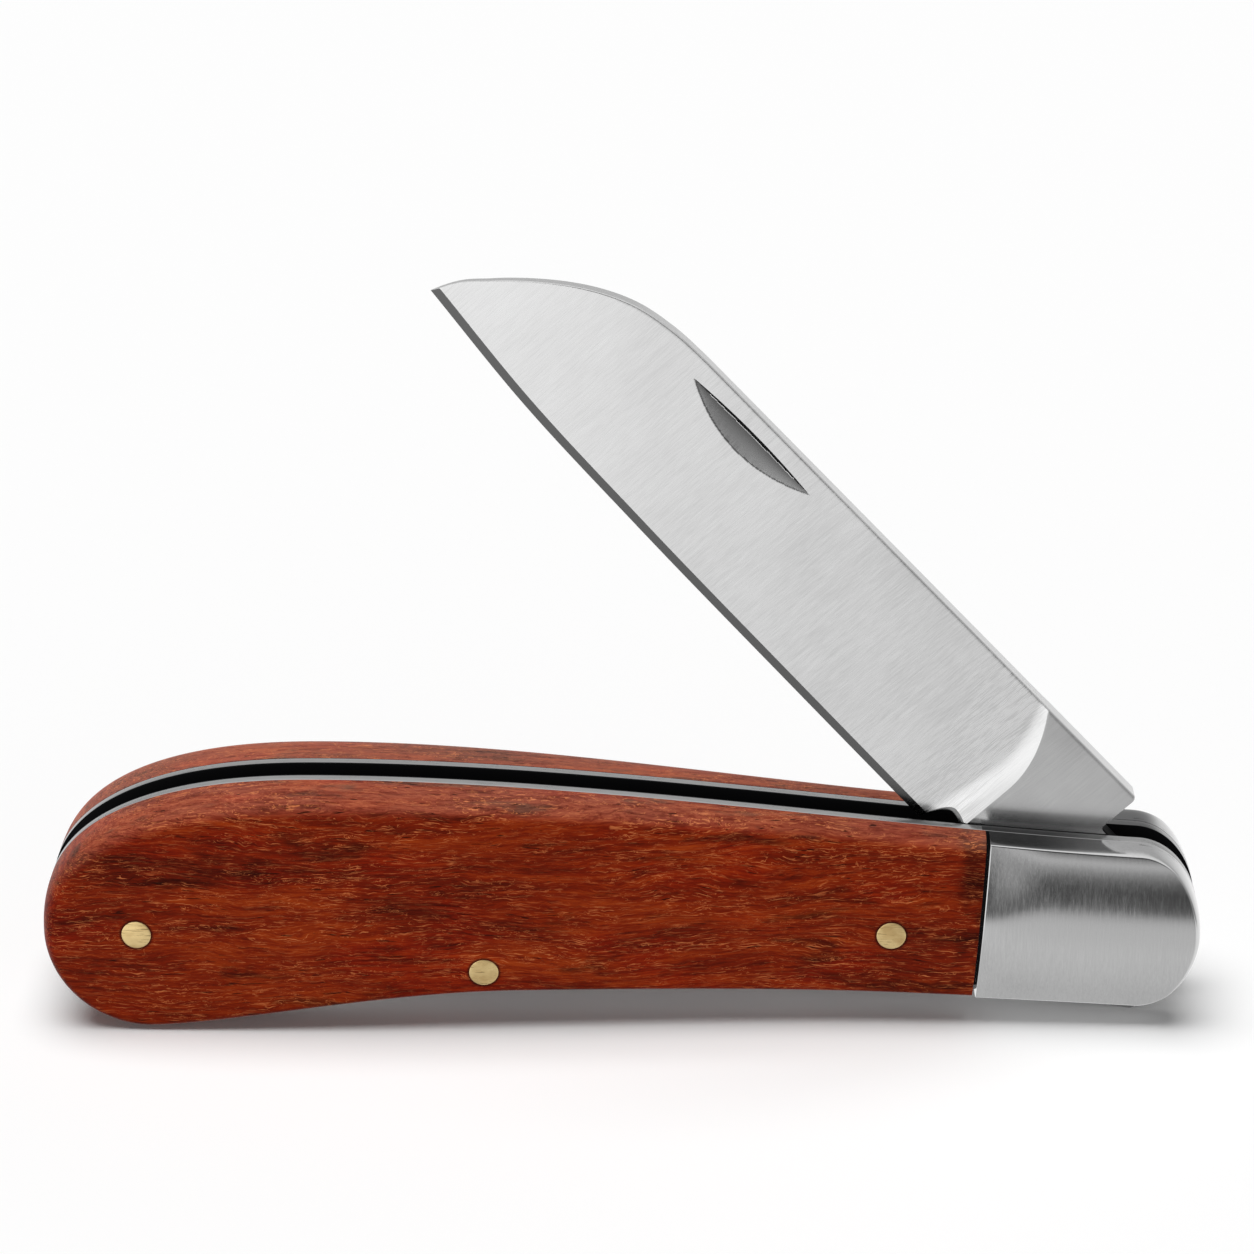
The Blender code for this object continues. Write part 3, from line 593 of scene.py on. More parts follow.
@dataclass(frozen=True)
class WoodFinish:
    """Oiled reddish figured hardwood with its grain along the handle.

    A field that ends in _span says between which two values a pattern comes in, and between which two
    strengths. The weights and the stops of the tone go with the broad, the streaked and the fibrous pattern,
    and with the dark, the middle and the light colour.
    """

    dark: Colour = (0.050, 0.0035, 0.0008)
    middle: Colour = (0.186, 0.0120, 0.0010)
    light: Colour = (0.345, 0.0440, 0.0045)
    glint: Colour = (0.660, 0.1950, 0.0620)
    # Painted sheen: the colour added on faces that look up.
    worn: Colour = (0.105, 0.0680, 0.0480)
    pore: Colour = (0.016, 0.0022, 0.0008)
    redder: Colour = (1.12, 0.80, 0.70)
    darker: Colour = (0.34, 0.36, 0.50)
    sway: Pattern = Pattern((0.06, 0.2, 0.18))
    sway_reach: float = 0.9 * MM
    curl: Pattern = Pattern((0.55, 0.6, 0.9))
    curl_reach: float = 0.16 * MM
    broad: Pattern = Pattern((0.045, 0.16, 0.26), 4.0, 0.6)
    streak: Pattern = Pattern((0.12, 1.2, 2.1), 4.0, 0.65)
    fibre: Pattern = Pattern((0.40, 4.0, 10.0), 4.0, 0.7)
    tone_weights: Triple = (0.42, 0.34, 0.34)
    tone_stops: Triple = (0.42, 0.545, 0.68)
    patch: Pattern = Pattern((0.08, 0.2, 0.2))
    patch_span: Span = (0.50, 0.66, 0.0, 0.8)
    blotch: Pattern = Pattern((0.11, 0.4, 0.55), 4.0, 0.6)
    blotch_span: Span = (0.55, 0.70, 0.0, 0.9)
    stain: Pattern = Pattern((0.25, 0.3, 0.30), 3.0)
    stain_span: Span = (0.42, 0.60)
    stain_reach: float = 3.2 * MM
    stain_full: float = 1.28 * MM
    stain_share: float = 0.9
    dash: Pattern = Pattern((0.45, 4.0, 11.0), 2.0, 0.6)
    dash_span: Span = (0.58, 0.67)
    wave: Pattern = Pattern((0.42, 1.2, 2.2), 3.0, 0.6)
    wave_span: Span = (0.003, 0.014, 1.0, 0.0)
    broken: Pattern = Pattern((0.7, 1.2, 2.0))
    broken_span: Span = (0.45, 0.58)
    cluster: Pattern = Pattern((0.10, 0.3, 0.45), 3.0, 0.6)
    cluster_span: Span = (0.38, 0.62, 0.22, 0.76)
    pores: Pattern = Pattern((0.35, 2.0, 4.8))
    pore_span: Span = (0.665, 0.72, 0.0, 0.85)
    # Where the painted sheen comes in: by how far a face looks up, by the fibre, and more behind than in front.
    worn_up: Span = (0.10, 1.05)
    worn_fibre: Span = (0.7, 1.25, 0.25, 1.25)
    worn_across: Span = (-1.0 * MM, 1.0 * MM, 0.8, 1.4)
    # Painted shade on faces that look down.
    underside_shade: Span = (-0.6, -0.05, 0.35, 0.0)
    pin_radius: float = 1.5 * MM
    pin_ring: float = 0.26 * MM
    ring_share: float = 0.75
    roughness: float = 0.42
    gloss: float = 0.04
    relief_fibre: float = 0.8
    relief_depth: float = 0.05 * MM
    relief_strength: float = 0.7

    def build(self, pins: Sequence[Point], joint_x: float) -> Finish:
        """Return the wood, darkened in a thin ring round every pin and in patches beside the joint.

        Args:
            pins: each pin's (x, z).
            joint_x: where the scales meet the bolsters.

        Returns:
            The finish.
        """
        g = Surface("figured_wood")
        grain = self.swayed(g, g.place, self.sway, self.sway_reach)
        curly = self.swayed(g, grain, self.curl, self.curl_reach)
        patterns = (self.broad, grain), (self.streak, grain), (self.fibre, curly)
        noises = [g.noise(pattern, source) for pattern, source in patterns]
        tone = g.total(*zip(noises, self.tone_weights))
        colour = g.ramp(tone, zip(self.tone_stops, (self.dark, self.middle, self.light)))
        colour = self.with_blotches(g, grain, colour, joint_x)
        colour = self.with_dashes(g, curly, colour)
        up, fibre = g.facing_up(), g.maths("ADD", noises[2], noises[1])
        # Painted sheen: faces that look up are lightened, more along the fibre and more on the rear scale.
        worn = g.times(g.span(up, *self.worn_up), g.span(fibre, *self.worn_fibre))
        worn = g.times(worn, g.span(g.reach(Axis.ACROSS.value), *self.worn_across))
        colour = g.mix(worn, colour, self.worn, blend="ADD")
        # Painted shade: faces that look down darken towards black.
        colour = g.mix(g.span(up, *self.underside_shade), colour, BLACK)
        pore_share = g.span(g.noise(self.pores, grain), *self.pore_span)
        colour = g.mix(pore_share, colour, self.pore)
        colour = g.mix(g.times(self.pin_share(g, pins), self.ring_share), colour, self.pore)
        g.set("Base Color", colour)
        g.set("Roughness", self.roughness)
        g.set("Specular IOR Level", self.gloss)
        relief = g.maths("SUBTRACT", g.times(noises[2], self.relief_fibre), pore_share)
        g.bump(relief, self.relief_depth, self.relief_strength)
        return Finish("wood", g.material)

    def swayed(self, g: Surface, source: object, pattern: Pattern, reach: float) -> Socket:
        """Return coordinates pushed about by a soft noise, twice as far along and up as across.

        Args:
            g: the material's graph.
            source: the coordinates to push.
            pattern: the noise that pushes them.
            reach: how far the push goes to each side.

        Returns:
            The pushed coordinates.
        """
        push = g.noise(pattern, source, output="Color")
        push = g.vector("SUBTRACT", push, (0.5, 0.5, 0.5))
        push = g.vector("MULTIPLY", push, (4.0 * reach, 2.0 * reach, 4.0 * reach))
        return g.vector("ADD", source, push)

    def with_blotches(self, g: Surface, grain: Socket, colour: object, joint_x: float) -> Socket:
        """Return the colour with long dark blotches, a few redder patches and dark patches at the joint.

        Args:
            g: the material's graph.
            grain: coordinates that sway with the grain.
            colour: the colour under the blotches.
            joint_x: where the scales meet the bolsters.

        Returns:
            The colour with the blotches.
        """
        redder = g.mix(1.0, colour, self.redder, blend="MULTIPLY")
        colour = g.mix(g.span(g.noise(self.patch), *self.patch_span), colour, redder)
        darker = g.mix(1.0, colour, self.darker, blend="MULTIPLY")
        beside = g.span(g.reach(Axis.ALONG.value), joint_x - self.stain_reach, joint_x - self.stain_full,
                        0.0, self.stain_share)
        stain = g.times(beside, g.span(g.noise(self.stain), *self.stain_span))
        return g.mix(g.most(g.span(g.noise(self.blotch, grain), *self.blotch_span), stain), colour, darker)

    def with_dashes(self, g: Surface, curly: Socket, colour: object) -> Socket:
        """Return the colour with clusters of thin light dashes and curls over it.

        A dash lies on the crest of a noise stretched along the grain. A curl is where a rounder noise is
        close to its middle value, so it runs along that noise's contour.

        Args:
            g: the material's graph.
            curly: coordinates that sway with the curls.
            colour: the colour under the dashes.

        Returns:
            The colour with the dashes.
        """
        dash = g.span(g.noise(self.dash, curly), *self.dash_span)
        off_middle = g.maths("ABSOLUTE", g.maths("SUBTRACT", g.noise(self.wave, curly), 0.5))
        curl = g.times(g.span(off_middle, *self.wave_span), g.span(g.noise(self.broken), *self.broken_span))
        share = g.times(g.most(dash, curl), g.span(g.noise(self.cluster), *self.cluster_span))
        return g.mix(share, colour, self.glint)

    def pin_share(self, g: Surface, pins: Sequence[Point]) -> Socket:
        """Return 1 beside a pin, falling to 0 over the ring's width.

        Args:
            g: the material's graph.
            pins: each pin's (x, z).

        Returns:
            The share of the ring.
        """
        share: object = 0.0
        for x, z in pins:
            away = g.vector("MULTIPLY", g.vector("SUBTRACT", g.place, (x, 0.0, z)), (1.0, 0.0, 1.0))
            far = g.vector("LENGTH", away, output="Value")
            share = g.most(share, g.span(far, self.pin_radius, self.pin_radius + self.pin_ring, 1.0, 0.0))
        return share


@dataclass(frozen=True)
class SteelFinish:
    """Ground or brushed steel: fine scratches along one direction over a soft uneven sheen.

    A scratch is a noise stretched along the lay, which is turned about Y from the vertical. A plunge, given
    as a direction and a distance along it, has faint scratches before it and strong ones just after it,
    which calm down further on. Faces that carry a grey of their own show it: on the blade that is the edge
    bevel's grey and, for the rest, painted shade and painted light. The darkest are matt and a full white
    one, a painted highlight, has no metal's gloss. What lies outside the bright range of depths from the
    knife's middle is painted near-black as the slot's shade, and beyond open_x that range reaches further
    inwards. The upward side beyond open_x is darkened by painted shade that stands in for a dark reflection:
    in front less and less over the top shade range of X, behind all the way. By itself open_x lies off the
    knife.
    """

    name: str
    slot: str
    colour: Colour = (0.70, 0.70, 0.70)
    shade: Colour = (0.62, 0.62, 0.62)
    # Painted shade: near-black beyond the bright range, for the slot's shade.
    hidden: Colour = (0.012, 0.012, 0.013)
    # Painted shade on upward faces beyond open_x, standing in for a dark reflection.
    painted_top_shade: Colour = (0.05, 0.05, 0.052)
    rough: Range = (0.26, 0.34)
    hidden_rough: float = 0.7
    dark_rough: float = 0.8
    lay: float = 0.0
    scratch: Triple = (13.0, 13.0, 0.8)
    coarseness: float = 0.3
    line_weights: Range = (0.65, 0.35)
    cloud: Pattern = Pattern((0.10, 0.10, 0.10), 3.0)
    tone_weights: Range = (0.7, 0.3)
    tone_stops: Range = (0.38, 0.60)
    rough_stops: Range = (0.35, 0.65)
    relief_depth: float = 0.004 * MM
    relief_strength: float = 0.4
    plunge: tuple[Triple, float] | None = None
    plunge_span: Span = (-0.5 * MM, 1.5 * MM, 0.25, 2.3)
    calm_span: Span = (4.0 * MM, 9.0 * MM, 2.3, 1.0)
    # The face attribute of greys; on the blade, besides the bevel's grey, painted shade and painted light.
    grey_and_painted_light: str = ""
    grey_least: float = 0.001
    grey_dark: float = 0.03
    grey_white: float = 0.99
    bright: Range | None = None
    bright_blend: float = 0.03 * MM
    open_x: float = 1.0
    worn_edge: float = 0.16 * MM
    # Where the painted top shade falls: its X range in front, its strength behind, on upward faces.
    dull: Range | None = None
    dull_front: float = 0.85
    dull_rear: Span = (-0.5 * MM, 0.5 * MM, 0.0, 0.76)
    dull_up: Span = (0.80, 0.97)

    def build(self) -> Finish:
        """Return the steel.

        Returns:
            The finish.
        """
        g = Surface(self.name)
        lines = self.scratches(g)
        tone = g.total(*zip((lines, g.noise(self.cloud)), self.tone_weights))
        colour = g.ramp(tone, zip(self.tone_stops, (self.shade, self.colour)))
        rough = g.span(tone, *self.rough_stops, *self.rough)
        metal: object = 1.0
        # A face's own grey replaces the colour: a white one, a painted highlight, loses the metal, the darkest,
        # painted shade, turn matt.
        if self.grey_and_painted_light:
            grey = g.node("ShaderNodeAttribute", attribute_name=self.grey_and_painted_light).outputs["Fac"]
            carried = g.maths("GREATER_THAN", grey, self.grey_least)
            colour = g.mix(carried, colour, grey)
            metal = g.maths("SUBTRACT", 1.0, g.maths("GREATER_THAN", grey, self.grey_white))
            dark = g.times(carried, g.maths("LESS_THAN", grey, self.grey_dark))
            rough = g.most(rough, g.times(dark, self.dark_rough))
        # Painted shade: beyond the bright range the liners go near-black, the slot's shade.
        if self.bright:
            beyond = self.beyond_bright(g)
            colour = g.mix(beyond, colour, self.hidden)
            rough = g.most(rough, g.times(beyond, self.hidden_rough))
        # Painted shade on upward faces beyond open_x, standing in for a dark reflection.
        if self.dull:
            colour = g.mix(self.dull_share(g), colour, self.painted_top_shade)
        g.set("Base Color", colour)
        g.set("Metallic", metal)
        g.set("Roughness", rough)
        g.bump(lines, self.relief_depth, self.relief_strength)
        return Finish(self.slot, g.material)

    def scratches(self, g: Surface) -> Socket:
        """Return the fine and the coarse scratches, which have 0.5 as their middle.

        Args:
            g: the material's graph.

        Returns:
            The scratches' height.
        """
        coarse_cells = tuple(value * self.coarseness for value in self.scratch)
        patterns = Pattern(self.scratch, detail=3.0, rough=0.6), Pattern(coarse_cells)
        lines = g.total(*zip([g.noise(pattern, turn=self.lay) for pattern in patterns], self.line_weights))
        if not self.plunge:
            return lines
        direction, start = self.plunge
        beyond = g.maths("SUBTRACT", g.reach(direction), start)
        depth = g.maths("MINIMUM", g.span(beyond, *self.plunge_span), g.span(beyond, *self.calm_span))
        return g.maths("ADD", g.times(g.maths("SUBTRACT", lines, 0.5), depth), 0.5)

    def beyond_bright(self, g: Surface) -> Socket:
        """Return 1 where a place lies outside the bright range of depths, where the painted slot shade goes.

        Args:
            g: the material's graph.

        Returns:
            The share of the painted slot shade.
        """
        near, far = self.bright
        depth = g.maths("ABSOLUTE", g.reach(Axis.ACROSS.value))
        worn = g.times(g.maths("GREATER_THAN", g.reach(Axis.ALONG.value), self.open_x), self.worn_edge)
        inner = g.span(g.maths("ADD", depth, worn), near, near + self.bright_blend, 1.0, 0.0)
        return g.most(inner, g.span(depth, far - self.bright_blend, far))

    def dull_share(self, g: Surface) -> Socket:
        """Return how much painted shade a place on an upward side gets.

        Args:
            g: the material's graph.

        Returns:
            The share of painted shade.
        """
        along = g.reach(Axis.ALONG.value)
        share = g.most(g.span(along, *self.dull, self.dull_front, 0.0),
                       g.span(g.reach(Axis.ACROSS.value), *self.dull_rear))
        share = g.times(share, g.maths("GREATER_THAN", along, self.open_x))
        return g.times(share, g.span(g.facing_up(), *self.dull_up))


@dataclass(frozen=True)
class BrassFinish:
    """Filed pale brass with a few dark hairlines along the grain of the wood."""

    pale: Colour = (0.80, 0.60, 0.29)
    deep: Colour = (0.62, 0.43, 0.19)
    stain: Colour = (0.22, 0.13, 0.05)
    cloud: Pattern = Pattern((0.5, 0.5, 0.9), 3.0)
    cloud_stops: Range = (0.35, 0.6)
    hairline: Pattern = Pattern((0.5, 2.0, 7.0), 3.0, 0.6)
    hairline_span: Span = (0.58, 0.66, 0.0, 0.8)
    rough_span: Span = (0.3, 0.7, 0.26, 0.42)
    relief_depth: float = 0.006 * MM
    relief_strength: float = 0.4

    def build(self) -> Finish:
        """Return the brass.

        Returns:
            The finish.
        """
        g = Surface("filed_brass")
        lines = g.noise(self.hairline)
        colour = g.ramp(g.noise(self.cloud), zip(self.cloud_stops, (self.deep, self.pale)))
        g.set("Base Color", g.mix(g.span(lines, *self.hairline_span), colour, self.stain))
        g.set("Metallic", 1.0)
        g.set("Roughness", g.span(lines, *self.rough_span))
        g.bump(lines, self.relief_depth, self.relief_strength)
        return Finish("brass", g.material)


# Handle


@dataclass(frozen=True)
class HandleForm:
    """The handle's outline and the thickness of its slabs.

    The top is a level swell that falls to the bolsters, the sole is an arch with a steep start, and both ends
    are superellipse quarters, whose powers are given for the butt and the nose. A slab tapers from the swell
    to the bolsters, is crowned across and has a superellipse shoulder as deep as the distance from the
    outline says.
    """

    butt_x: float
    nose_x: float
    crest_height: float
    joint_x: float
    inner: float
    crest_setback: float = 27.55 * MM
    butt_nose_height: float = 9.9 * MM
    sole_setback: float = 10.25 * MM
    arch_height: float = 3.9 * MM
    arch_setback: float = 46.55 * MM
    bolster_top: float = 18.75 * MM
    bolster_sole: float = 2.3 * MM
    nose_run: float = 6.2 * MM
    nose_height: float = 9.8 * MM
    top_slope: float = -0.06
    sole_slope: float = -0.0556
    top_powers: Range = (2.4, 2.1)
    sole_powers: Range = (1.9, 1.75)
    arch_power: float = 0.8
    swell: float = 6.1 * MM
    bolster: float = 3.9 * MM
    butt_thinning: float = 0.3 * MM
    swell_setback: float = 24.55 * MM
    taper_length: float = 60.0 * MM
    crowns: Range = (0.6 * MM, 1.0 * MM)
    crown_powers: Range = (2.0, 3.2)
    crown_run: float = 7.0 * MM
    shoulder_power: float = 3.0
    joint_gap: float = 0.35 * MM
    fineness: int = 420

    def top_line(self, x: Array) -> Array:
        """Return the top's height without its round ends."""
        start = (self.butt_x + self.crest_setback, self.crest_height)
        return level_to_slope(x, start, (self.nose_x - self.nose_run, self.bolster_top), self.top_slope)

    def sole_line(self, x: Array) -> Array:
        """Return the sole's height without its round ends: a smooth step up to the arch, then a fall.

        Args:
            x: places along the handle.

        Returns:
            The heights.
        """
        sole_x = self.butt_x + self.sole_setback
        arch_x = self.butt_x + self.arch_setback
        rise = np.clip((x - sole_x) / (arch_x - sole_x), 0.0, 1.0) ** self.arch_power
        end = (self.nose_x - self.nose_run, self.bolster_sole)
        fall = level_to_slope(x, (arch_x, self.arch_height), end, self.sole_slope)
        return np.where(x < arch_x, self.arch_height * smooth_step(rise), fall)

    def rounded(self, x: Array, line: Array, setback: float, powers: Range) -> Array:
        """Return a line's height with both ends rounded.

        Args:
            x: places along the handle.
            line: the line's height there.
            setback: how far from the butt its round end starts.
            powers: the superellipses' powers at the butt and at the nose.

        Returns:
            The heights.
        """
        behind = (self.butt_x + setback - x) / setback
        butt = between((self.butt_nose_height, line), end_cap(behind, powers[0]))
        ahead = (x - self.nose_x + self.nose_run) / self.nose_run
        nose = between((self.nose_height, line), end_cap(ahead, powers[1]))
        return np.where(x < 0.0, butt, nose)

    def top(self, x: Array) -> Array:
        """Return the top's height with both ends rounded."""
        return self.rounded(x, self.top_line(x), self.crest_setback, self.top_powers)

    def sole(self, x: Array) -> Array:
        """Return the sole's height with both ends rounded."""
        return self.rounded(x, self.sole_line(x), self.sole_setback, self.sole_powers)

    def stations(self, count: int) -> Array:
        """Return places along the handle that crowd towards both ends, as a cosine does."""
        middle = (self.butt_x + self.nose_x) / 2.0
        return middle - (self.nose_x - self.butt_x) / 2.0 * np.cos(np.linspace(0.0, math.pi, count + 1))

    def outline(self) -> Array:
        """Return the closed outline as rows of (x, z).

        Returns:
            The corners, first along the sole and then back along the top.
        """
        x = self.stations(self.fineness)
        sole = np.stack([x, self.sole(x)], axis=-1)
        top = np.stack([x, self.top(x)], axis=-1)
        return np.concatenate([sole, top[-2:0:-1]])

    def joint_end(self, z: Array, towards: float) -> Array:
        """Return where the slanted joint ends a slab: half a gap from the joint's line, on one side of it.

        Args:
            z: heights.
            towards: -1 before the joint, 1 beyond it.

        Returns:
            The X at each height.
        """
        lean = (self.top_slope + self.sole_slope) / 2.0
        here = np.array(self.joint_x)
        middle = (self.top(here) + self.sole(here)) / 2.0
        return self.joint_x - lean * (z - middle) + towards * self.joint_gap / 2.0

    def slab(self, x: Array, z: Array, shoulder: Array) -> Array:
        """Return how far a slab stands out from its flat back.

        Args:
            x: places along the handle.
            z: heights.
            shoulder: the shoulder's depth at each point.

        Returns:
            The thickness at each point.
        """
        taper = smooth_step((x - self.butt_x - self.swell_setback) / self.taper_length)
        behind = np.clip((self.butt_x + self.swell_setback - x) / self.swell_setback, 0.0, 1.0)
        belly = between((self.swell, self.bolster), taper) - self.butt_thinning * behind**2
        top, sole = self.top_line(x), self.sole_line(x)
        across = (2.0 * z - top - sole) / (top - sole)
        power = between(self.crown_powers, smooth_step((x - self.joint_x) / self.crown_run))
        crown = between(self.crowns, taper) * np.abs(across) ** power
        inward = np.clip(edge_distance(x, z, self.outline()) / shoulder, 0.0, 1.0)
        rounded = (1.0 - (1.0 - inward) ** self.shoulder_power) ** (1.0 / self.shoulder_power)
        return (belly - crown) * rounded


def crowded_rows(count: int, power: float) -> Array:
    """Return shares from 0 to 1 that crowd towards both ends: half a power of the share, mirrored."""
    half = 0.5 * np.linspace(0.0, 1.0, count + 1) ** power
    return np.concatenate([half, 1.0 - half[-2::-1]])


@dataclass
class Slabs:
    """The parts of the handle's sides that lie on one side of the joint, -1 before it and 1 beyond it."""

    form: HandleForm
    finish: Finish
    part: str = ""
    towards: float = -1.0
    columns: int = 300
    rows: int = 34
    row_power: float = 2.6
    joint_ease: float = 0.07 * MM
    ease_columns: int = 5
    joint_rounds: int = 5
    crease: float = 40.0
    mirrored: bool = True

    @property
    def far_end(self) -> float:
        """Return the X of the end away from the joint."""
        return self.form.butt_x if self.towards < 0.0 else self.form.nose_x

    def shoulder(self, x: Array, z: Array, side: Side) -> Array:
        """Return the shoulder's depth at each point of one side's slab."""
        raise NotImplementedError

    def heights(self, x: Array, rows: Array) -> Array:
        """Return the rows' heights, as shares from the sole to the top."""
        return between((self.form.sole(x), self.form.top(x)), rows)

    def grid(self, side: Side) -> tuple[Array, Array, Array]:
        """Return one side's face as a grid of x, z and thickness.

        Columns run from the round end to the joint: the first crowd at the round end as a cosine does,
        the last lie in the joint's eased edge. Each column is shared out between the slab's end and the
        slanted joint at its own height, which a few rounds of the same sum settle.

        Args:
            side: which side of the knife.

        Returns:
            Grids of x, z and thickness, as rows by columns.
        """
        length = abs(self.form.joint_x - self.far_end)
        main = 1.0 - np.cos(quarter(self.columns))
        edge = 1.0 - self.joint_ease / length * (1.0 - np.sin(quarter(self.ease_columns)))
        share = np.concatenate([main[main < edge[0] - LEAST_SHARE], edge])[None, :]
        rows = crowded_rows(self.rows, self.row_power)[:, None]
        x = between((self.far_end, self.form.joint_x), share) + 0.0 * rows
        z = self.heights(x, rows)
        for _ in range(self.joint_rounds):
            x = between((self.far_end, self.form.joint_end(z, self.towards)), share)
            z = self.heights(x, rows)
        thickness = self.form.slab(x, z, self.shoulder(x, z, side))
        thickness -= eased((1.0 - share) * length, self.joint_ease) * (thickness > self.joint_ease)
        return x, z, thickness

    def build(self) -> list[bpy.types.Object]:
        """Return both sides' pieces.

        Returns:
            The front's piece, then the rear's.
        """
        pieces = []
        for side in Side:
            node = f"{side.word}_{self.part}"
            x, z, thickness = self.grid(side)
            face = np.stack([x, side.value * (self.form.inner + thickness), z], axis=-1)
            back = np.stack([x, np.full_like(x, side.value * self.form.inner), z], axis=-1)
            piece = add_piece(mesh_from(node, *solid_between(face, back), self.crease), node, self.finish,
                              Body.HANDLE)
            piece.visible_glossy = self.mirrored
            pieces.append(piece)
        return pieces


@dataclass
class ScalePair(Slabs):
    """The two wood scales, rounded over most along the front's top and at the butt."""

    part: str = "scale"
    butt_shoulder: float = 2.2 * MM
    joint_shoulder: float = 1.4 * MM
    sole_share: float = 0.5
    rear_share: float = 0.55

    def shoulder(self, x: Array, z: Array, side: Side) -> Array:
        """Return a depth that changes evenly from butt to joint and smoothly from top to sole.

        Args:
            x: places along the handle.
            z: heights.
            side: which side of the knife; the rear's is a share of the front's.

        Returns:
            The depth at each point.
        """
        share = np.clip((x - self.form.butt_x) / (self.form.joint_x - self.form.butt_x), 0.0, 1.0)
        top, sole = self.form.top_line(x), self.form.sole_line(x)
        rise = smooth_step(2.0 * (z - sole) / (top - sole))
        depth = between((self.butt_shoulder, self.joint_shoulder), share)
        depth = depth * between((self.sole_share, 1.0), rise)
        return depth if side is Side.FRONT else depth * self.rear_share


@dataclass
class BolsterPair(Slabs):
    """The two steel bolsters: a crisp edge along the top that softens round the nose."""

    part: str = "bolster"
    towards: float = 1.0
    columns: int = 240
    edge_shoulder: float = 0.28 * MM
    nose_shoulder: float = 0.8 * MM
    nose_reach: float = 3.5 * MM

    def shoulder(self, x: Array, z: Array, side: Side) -> Array:
        """Return the depth: the edge's, growing smoothly to the nose's over the last stretch."""
        share = smooth_step((x - self.form.nose_x + self.nose_reach) / self.nose_reach)
        return between((self.edge_shoulder, self.nose_shoulder), share)


def plate(x: Array, low: Array, high: Array, y_range: Range, ease: float) -> tuple[Array, Array]:
    """Return a flat plate along X with eased long edges.

    The plate's faces are grids over the stations and nine heights, and each face falls back beside both
    edges by a quarter circle.

    Args:
        x: stations.
        low: the lower edge's height at each station.
        high: the upper edge's height at each station.
        y_range: the plate's two faces.
        ease: radius of the eased edges.

    Returns:
        Points and faces of the closed plate.
    """
    height = (high - low)[None, :]
    radius = np.minimum(ease, height / 2.0)
    share = np.array(EASE_ROWS)[:, None] * radius
    distance = np.concatenate([share, height / 2.0, share[::-1]])
    z = np.concatenate([low + share, low + height / 2.0, high - share[::-1]])
    fall = eased(distance, ease) * (height > 2.0 * ease)
    stations = np.broadcast_to(x, z.shape)
    return solid_between(*(np.stack([stations, y, z], axis=-1) for y in (y_range[0] + fall, y_range[1] - fall)))


@dataclass
class LinerPair:
    """The two steel liners beside the blade's slot, drilled for every pin."""

    form: HandleForm
    finish: Finish
    holes: list[Triple]
    stations: int = 420
    ease: float = 0.07 * MM
    drill_reach: float = 6.0 * MM

    def build(self) -> list[bpy.types.Object]:
        """Return both liners, each between the node's own two faces.

        Returns:
            The front's piece, then the rear's.
        """
        x = self.form.stations(self.stations)
        pieces = []
        for side in Side:
            node = f"{side.word}_liner"
            low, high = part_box(node)
            points, quads = plate(x, self.form.sole(x), self.form.top(x), (low.y, high.y), self.ease)
            mesh = drill(mesh_from(node, points, quads), self.holes, self.drill_reach)
            pieces.append(add_piece(mesh, node, self.finish, Body.HANDLE))
        return pieces


